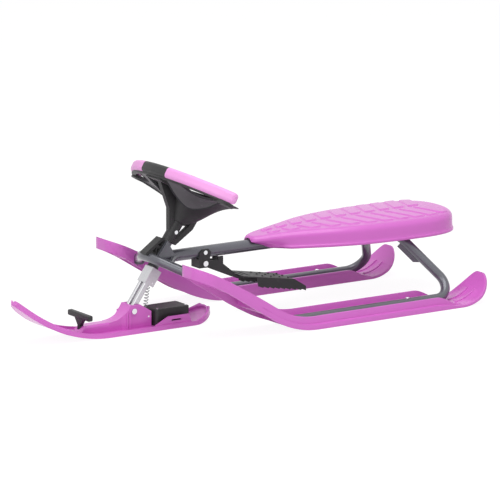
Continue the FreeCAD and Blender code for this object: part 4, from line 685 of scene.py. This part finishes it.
class SLED_OT_spring(bpy.types.Operator):
    """Winds the suspension spring between its two pins; on the sled it gives as the front ski pitches, but this
    wound spring is one fixed piece
    """
    bl_idname = "sled.spring"
    bl_label = "Suspension spring"

    def execute(self, context):
        wish = context.scene.sled_spring
        top, foot = (sum((Vector(corner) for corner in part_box(node)), Vector()) / 2
                     for node in ("spring_pin_upper", "spring_pin_lower"))
        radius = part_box("suspension_spring")[1][1] - wish.wire
        length = (top - foot).length - 2 * wish.seat
        run = (top - foot).normalized()
        side = Vector((0, 1, 0))
        other = run.cross(side)
        turns, steps_per_turn, wire_sides, nudge = 9, 28, 10, 1e-4

        def centre(share):
            turn = 2 * math.pi * turns * share
            way = math.cos(turn) * side + math.sin(turn) * other
            return foot + run * (wish.seat + length * share) + radius * way

        def ring(share):
            ahead = (centre(share + nudge) - centre(share - nudge)).normalized()
            across = ahead.cross(run).normalized()
            over = ahead.cross(across)
            return [centre(share) + wish.wire * (c * across + s * over) for c, s in circle(wire_sides)]

        spring = sweep("suspension_spring_wound", shares(turns * steps_per_turn), ring)
        soften(spring, width=0.0001, angle=60, segments=1)
        dress(spring, "spring_steel", "suspension_spring")
        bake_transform(spring)
        return {"FINISHED"}


# Seat: one side of its plan, from the front to the rear
SEAT_PLAN = ((-0.044, 0.0), (-0.048, 0.018), (-0.066, 0.031), (-0.100, 0.042), (-0.160, 0.062),
             (-0.220, 0.085), (-0.290, 0.104), (-0.360, 0.113), (-0.440, 0.117), (-0.500, 0.115),
             (-0.545, 0.103), (-0.576, 0.080), (-0.594, 0.045), (-0.599, 0.0))


def smooth_outline(half_plan, steps=24):
    """A closed, smooth outline through one side's points and their mirror images."""
    corners = [Vector(p) for p in half_plan] + [Vector((x, -y)) for x, y in half_plan[-2:0:-1]]
    count = len(corners)
    points = []
    for i in range(count):
        a, b, c, d = (corners[(i + k) % count] for k in (-1, 0, 1, 2))
        points += [curve(a, b, c, d, k / steps) for k in range(steps)]
    return points


def crowded(place, end=0.2):
    """A place from -1 to 1 in a grid, moved so that the rows lie closer towards both ends."""
    even = 0.5 * place + 0.5 * math.sin(place * math.pi / 2)
    inside = 1 - abs(place)
    if inside >= end:
        return even
    tight = 1 - end * (1 - math.sin((1 - inside / end) * math.pi / 2))
    share = ramp(inside, 0.0, end)
    return math.copysign(tight, place) * (1 - share) + even * share


class SeatForm:
    """The seat's upper face: its plan, crown, rolled edge and raised pads."""
    inner_x = -0.35
    front_drop, crown_drop, widest = 0.018, 0.005, 0.117
    sharper_roll, sharper_run = 0.25, (0.75, 1.0)
    pad_rows, pad_start, pad_middle = 11, 0.045, 0.02
    pad_bend, pad_gap, pad_border = 0.009, 0.006, 0.021
    pad_corner, pad_slope, pad_margin = 0.009, 0.0036, (0.008, 0.016)

    def __init__(self, wish, crest):
        self.wish, self.crest = wish, crest
        self.front, self.rear = SEAT_PLAN[0][0], SEAT_PLAN[-1][0]
        self.outline = smooth_outline(SEAT_PLAN)
        self.side = sorted((point.x, point.y) for point in self.outline if point.y >= 0)
        self.tree = KDTree(len(self.outline))
        for i, point in enumerate(self.outline):
            self.tree.insert((point.x, point.y, 0), i)
        self.tree.balance()

    def half_at(self, x):
        """Half the seat's width at a place along the sled."""
        i = min(len(self.side) - 1, max(1, bisect(self.side, (x, 0))))
        (x0, y0), (x1, y1) = self.side[i - 1], self.side[i]
        return y0 + (y1 - y0) * min(1, max(0, (x - x0) / (x1 - x0)))

    def outward(self, x, y):
        """The distance in from the outline, and the way out to it."""
        i = self.tree.find((x, y, 0))[1]
        near = self.outline[i]
        along = self.outline[(i + 1) % len(self.outline)] - self.outline[i - 1]
        way = Vector((along.y, -along.x)).normalized()
        if way.dot(near - Vector((self.inner_x, 0))) < 0:
            way = -way
        return max(0.0, (near - Vector((x, y))).dot(way)), way

    def pads(self, x, y):
        """How far the swept-back pads rise at a place."""
        wish, away = self.wish, abs(y)
        swept = x + wish.pad_sweep * (away - self.pad_bend)
        first = self.front - self.pad_start
        row = math.floor((first - swept) / wish.pad_pitch)
        if row not in range(self.pad_rows):
            return 0.0
        start = first - row * wish.pad_pitch
        reach = self.half_at(start - self.pad_middle) - self.pad_border
        ends = min(start - swept, swept - start + wish.pad_length)
        sides = min(away - self.pad_gap, reach - away)
        corner = self.pad_corner
        inside = corner - math.hypot(max(0, corner - ends), max(0, corner - sides))
        return wish.pad_rise * ramp(inside, 0.0, self.pad_slope)

    def top(self, x, y):
        """The height of the upper face at a place."""
        share = (x - self.rear) / (self.front - self.rear)
        gap = self.outward(x, y)[0]
        radius = self.wish.roll * (1 - self.sharper_roll * ramp(share, *self.sharper_run))
        roll = radius - math.sqrt(max(0.0, radius ** 2 - max(0.0, radius - gap) ** 2))
        crown = self.crown_drop * (y / self.widest) ** 2
        pads = self.pads(x, y) * ramp(gap, *self.pad_margin)
        return self.crest - self.front_drop * share ** 4 - crown - roll + pads


class SLED_OT_seat(bpy.types.Operator):
    """Moulds the seat with its pads, its rolled edge and its lip"""
    bl_idname = "sled.seat"
    bl_label = "Seat"

    def execute(self, context):
        wish = context.scene.sled_seat
        low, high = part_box("seat_shell")
        foot = low[2]
        form = SeatForm(wish, high[2] - wish.pad_rise)
        piece = self.upper_face(form)
        self.walls(piece, form, foot, wish)
        self.beam_opening(piece)
        soften(piece, width=0.0006, angle=50, segments=1)
        settle(piece, "frame", "orchid_plastic", "seat_shell")
        return {"FINISHED"}

    def upper_face(self, form):
        """Shapes a grid as the upper face, and leaves its rim selected."""
        piece = fresh("seat_moulding", bpy.ops.mesh.primitive_grid_add, x_subdivisions=340,
                      y_subdivisions=130, size=2)
        for vertex in piece.data.vertices:
            across = 0.6 * vertex.co.y + 0.4 * math.sin(vertex.co.y * math.pi / 2)
            x = (form.front + form.rear) / 2 + (form.front - form.rear) / 2 * crowded(vertex.co.x)
            y = form.half_at(x) * across
            vertex.co = (x, y, form.top(x, y))
        edit(piece, SELECT_ALL, (bpy.ops.mesh.remove_doubles, {"threshold": 2e-5}), EDGE_MODE, SELECT_NONE,
             SELECT_RIM)
        return piece

    def walls(self, piece, form, foot, wish):
        """Draws the rim down to the lip, round it and up inside, and closes the shell there."""
        lip, lip_height, lean_start = 0.003, 0.006, -0.150
        # Each ring's share of the wall's height, its lift above that, and its spread from the outline
        rings = ((0.5, 0, 0.0004), (0, lip_height + 0.001, 0.0010), (0, lip_height, lip), (0, 0, lip),
                 (0, 0, -wish.shell), (0.75, 0, -wish.shell - 0.001))
        origin = {tuple(v.co): v.co.copy() for v in piece.data.vertices if v.select}
        for share, lift, spread in rings:
            edit(piece, (bpy.ops.mesh.extrude_region_move, {}))
            moved = {}
            for vertex in (v for v in piece.data.vertices if v.select):
                start = origin[tuple(vertex.co)]
                way = form.outward(start.x, start.y)[1]
                level = foot + lift + share * (start.z - foot)
                fall = (start.z - level) / (start.z - foot)
                lean = wish.visor * ramp(start.x, lean_start, form.front) * fall
                vertex.co = (start.x + way.x * spread - lean, start.y + way.y * spread, level)
                moved[tuple(vertex.co)] = start
            origin = moved
        edit(piece, (bpy.ops.mesh.edge_face_add, {}), SELECT_ALL, FACE_OUT)

    def beam_opening(self, piece):
        """Cuts the arch through which the main beam passes the seat's front."""
        radius, length, x, arch_z, gate_z, gate_height = 0.0182, 0.16, -0.07, 0.1585, 0.146, 0.025
        carve(piece, fresh("beam_arch", bpy.ops.mesh.primitive_cylinder_add, vertices=64, radius=radius,
                           depth=length, location=(x, 0, arch_z), rotation=(0, math.pi / 2, 0)))
        carve(piece, fresh("beam_gate", bpy.ops.mesh.primitive_cube_add, size=1, location=(x, 0, gate_z),
                           scale=(length, 2 * radius, gate_height)))


# Wheel: the steering axis, and the panels' edges as places along, across and up that axis
STEER = next(joint for joint in frame["joints"] if joint["name"] == "steer")
STEER_FOOT, STEER_AXIS = Vector(STEER["pos_m"]), Vector(STEER["axis"])
PANEL_LOW = ((0.113, 0.046, 0.289), (0.062, 0.030, 0.275), (0.023, 0.046, 0.264), (0.010, 0.090, 0.279),
             (0.030, 0.150, 0.289), (0.046, 0.184, 0.292))
PANEL_TOP = ((0.114, 0.050, 0.290), (0.102, 0.084, 0.291), (0.066, 0.094, 0.289), (0.050, 0.120, 0.289),
             (0.050, 0.155, 0.291), (0.048, 0.185, 0.293))


def on_wheel(place):
    """Where a place that is given along, across and up the steering axis lies in the sled."""
    return STEER_FOOT + UP.rotation_difference(STEER_AXIS) @ place


def spline(points, share):
    """A place on the smooth curve through a row of points."""
    last = len(points) - 1
    span = min(last - 1, int(share * last))
    a, b, c, d = (Vector(points[min(last, max(0, span + k))]) for k in (-1, 0, 1, 2))
    return curve(a, b, c, d, share * last - span)


def wheel_panel(wish):
    """The left side panel, scooped between its two edges."""
    panel = fresh("wheel_panel_left", bpy.ops.mesh.primitive_grid_add, x_subdivisions=60, y_subdivisions=24,
                  size=2)
    inward = Vector((-0.8, -0.2, 0.6))
    for vertex in panel.data.vertices:
        along, across = (vertex.co.x + 1) / 2, (vertex.co.y + 1) / 2
        dip = wish.scoop * math.sin(math.pi * along) * math.sin(math.pi * across)
        plain = spline(PANEL_LOW, along).lerp(spline(PANEL_TOP, along), across)
        vertex.co = on_wheel(plain + dip * inward)
    modify(panel, "SOLIDIFY", thickness=0.0024, offset=0)
    edit(panel, SELECT_ALL, FACE_OUT)
    soften(panel, width=0.0005, angle=60, segments=1)
    return panel


def wheel_ridge(name, line, wish):
    """A ridge along one edge of the left panel, thinner towards its ends."""
    step, end_size, taper, height = 0.01, 0.45, 0.08, 1.3

    def ring(share):
        before, after = (on_wheel(spline(line, at)) for at in (max(0, share - step), min(1, share + step)))
        ahead = after - before
        across = ahead.cross(UP).normalized()
        over = across.cross(ahead).normalized()
        size = wish.ridge * (end_size + (1 - end_size) * ramp(min(share, 1 - share), 0.0, taper))
        here = on_wheel(spline(line, share))
        return [here + size * (c * across + height * s * over) for c, s in circle(12)]

    ridge = sweep(name, shares(60), ring)
    soften(ridge, width=0.0003, angle=40, segments=1)
    return ridge


class SLED_OT_wheel_panels(bpy.types.Operator):
    """Adds the wheel's two scooped side panels and the ridges round them"""
    bl_idname = "sled.wheel_panels"
    bl_label = "Wheel panels"

    def execute(self, context):
        wish = context.scene.sled_wheel
        # The panels take the lighter black, which is painted light from the floor below; the ridges keep the plain
        # black plastic
        pieces = [(wheel_panel(wish), "wheel_panel")]
        for name, line in (("low", PANEL_LOW), ("top", PANEL_TOP)):
            pieces.append((wheel_ridge(f"wheel_ridge_{name}_left", line, wish), "black_plastic"))
        for piece, finish in pieces:
            other = mirror_copy(piece, piece.name.replace("left", "right"))
            for side in (piece, other):
                settle(side, "steering", "black_plastic", finish=finish)
        return {"FINISHED"}


# Studio
def white_floor():
    """Adds a white floor that glows where the camera or a reflection sees it."""
    glow, glow_share = 1.16, 0.79
    floor = fresh("studio_floor", bpy.ops.mesh.primitive_plane_add, size=60)
    paper = Paint("studio_floor")
    plain = paper.node("ShaderNodeBsdfDiffuse", None, (0.9, 0.9, 0.9, 1))
    white = paper.node("ShaderNodeEmission", None, (1, 1, 1, 1), glow)
    mixed = paper.node("ShaderNodeMixShader", None, glow_share * paper.seen(), plain, white)
    paper.feed(paper.tree.nodes["Material Output"].inputs["Surface"], mixed)
    floor.data.materials.append(paper.material)


def white_surround(scene):
    """Makes the world white where the camera or a reflection sees it, and dimmer as a light."""
    bright, dim = 1.0, 0.42
    scene.world = bpy.data.worlds.new("studio")
    scene.world.use_nodes = True
    nodes = Nodes(scene.world.node_tree)
    sky = nodes.tree.nodes["Background"]
    nodes.feed(sky.inputs["Color"], (1, 1, 1, 1))
    nodes.feed(sky.inputs["Strength"], dim + (bright - dim) * nodes.seen())


def area_light(name, place, size, power):
    """Adds a square light that faces the sled."""
    sled_middle = Vector((0, 0, 0.1))
    bpy.ops.object.light_add(type="AREA", location=place)
    lamp = bpy.context.object
    lamp.name = name
    lamp.data.size = size
    lamp.data.energy = power
    lamp.rotation_euler = (place - sled_middle).to_track_quat("Z", "Y").to_euler()


class SLED_OT_studio(bpy.types.Operator):
    """Adds the floor, the lights, the white surround and the camera"""
    bl_idname = "sled.studio"
    bl_label = "Studio"

    def execute(self, context):
        studio = context.scene.sled_studio
        white_floor()
        white_surround(context.scene)
        toward = Vector((math.sin(studio.around) * math.cos(studio.above),
                         math.cos(studio.around) * math.cos(studio.above), math.sin(studio.above)))
        right = Vector((-math.cos(studio.around), math.sin(studio.around), 0))
        upward = toward.cross(right)
        overhead = Vector((0.2, 0.6, 2.4))
        by_camera = toward * 2.6 + upward * 0.9 - right * 1.4
        area_light("key", overhead, size=2.2, power=studio.key)
        area_light("fill", by_camera, size=1.8, power=studio.fill)
        centre = right * 0.044 + upward * 0.150
        bpy.ops.object.camera_add(location=centre + toward * studio.distance)
        camera = context.object
        camera.rotation_euler = Matrix((right, upward, toward)).transposed().to_euler()
        camera.data.sensor_width = 36
        camera.data.lens = camera.data.sensor_width * studio.distance / studio.width
        context.scene.camera = camera
        context.scene.view_settings.view_transform = "Standard"
        return {"FINISHED"}


class SLED_PT_panel(bpy.types.Panel):
    """The sled's pieces and settings"""
    bl_idname = "SLED_PT_panel"
    bl_label = "Steering sled"
    bl_space_type = "VIEW_3D"
    bl_region_type = "UI"
    bl_category = "Sled"

    def draw(self, context):
        for settings in SETTINGS:
            group = getattr(context.scene, settings)
            for name in group.__annotations__:
                self.layout.prop(group, name)
        for operator in OPERATORS:
            self.layout.operator(operator.bl_idname)


SETTINGS = {"sled_finish": SledFinish, "sled_skis": SledSkis, "sled_spring": SledSpring,
            "sled_seat": SledSeat, "sled_wheel": SledWheel, "sled_studio": SledStudio}
OPERATORS = (SLED_OT_finishes, SLED_OT_rear_skis, SLED_OT_front_ski_lips, SLED_OT_spring, SLED_OT_seat,
             SLED_OT_wheel_panels, SLED_OT_studio)
CLASSES = (*SETTINGS.values(), *OPERATORS, SLED_PT_panel)


def register():
    for each in CLASSES:
        bpy.utils.register_class(each)
    for name, group in SETTINGS.items():
        setattr(bpy.types.Scene, name, PointerProperty(type=group))


def unregister():
    for name in SETTINGS:
        delattr(bpy.types.Scene, name)
    for each in reversed(CLASSES):
        bpy.utils.unregister_class(each)


def main():
    register()
    bpy.ops.sled.finishes()
    bpy.ops.sled.rear_skis()
    bpy.ops.sled.front_ski_lips()
    bpy.ops.sled.spring()
    bpy.ops.sled.seat()
    bpy.ops.sled.wheel_panels()
    bpy.ops.sled.studio()


if __name__ == "__main__":
    main()
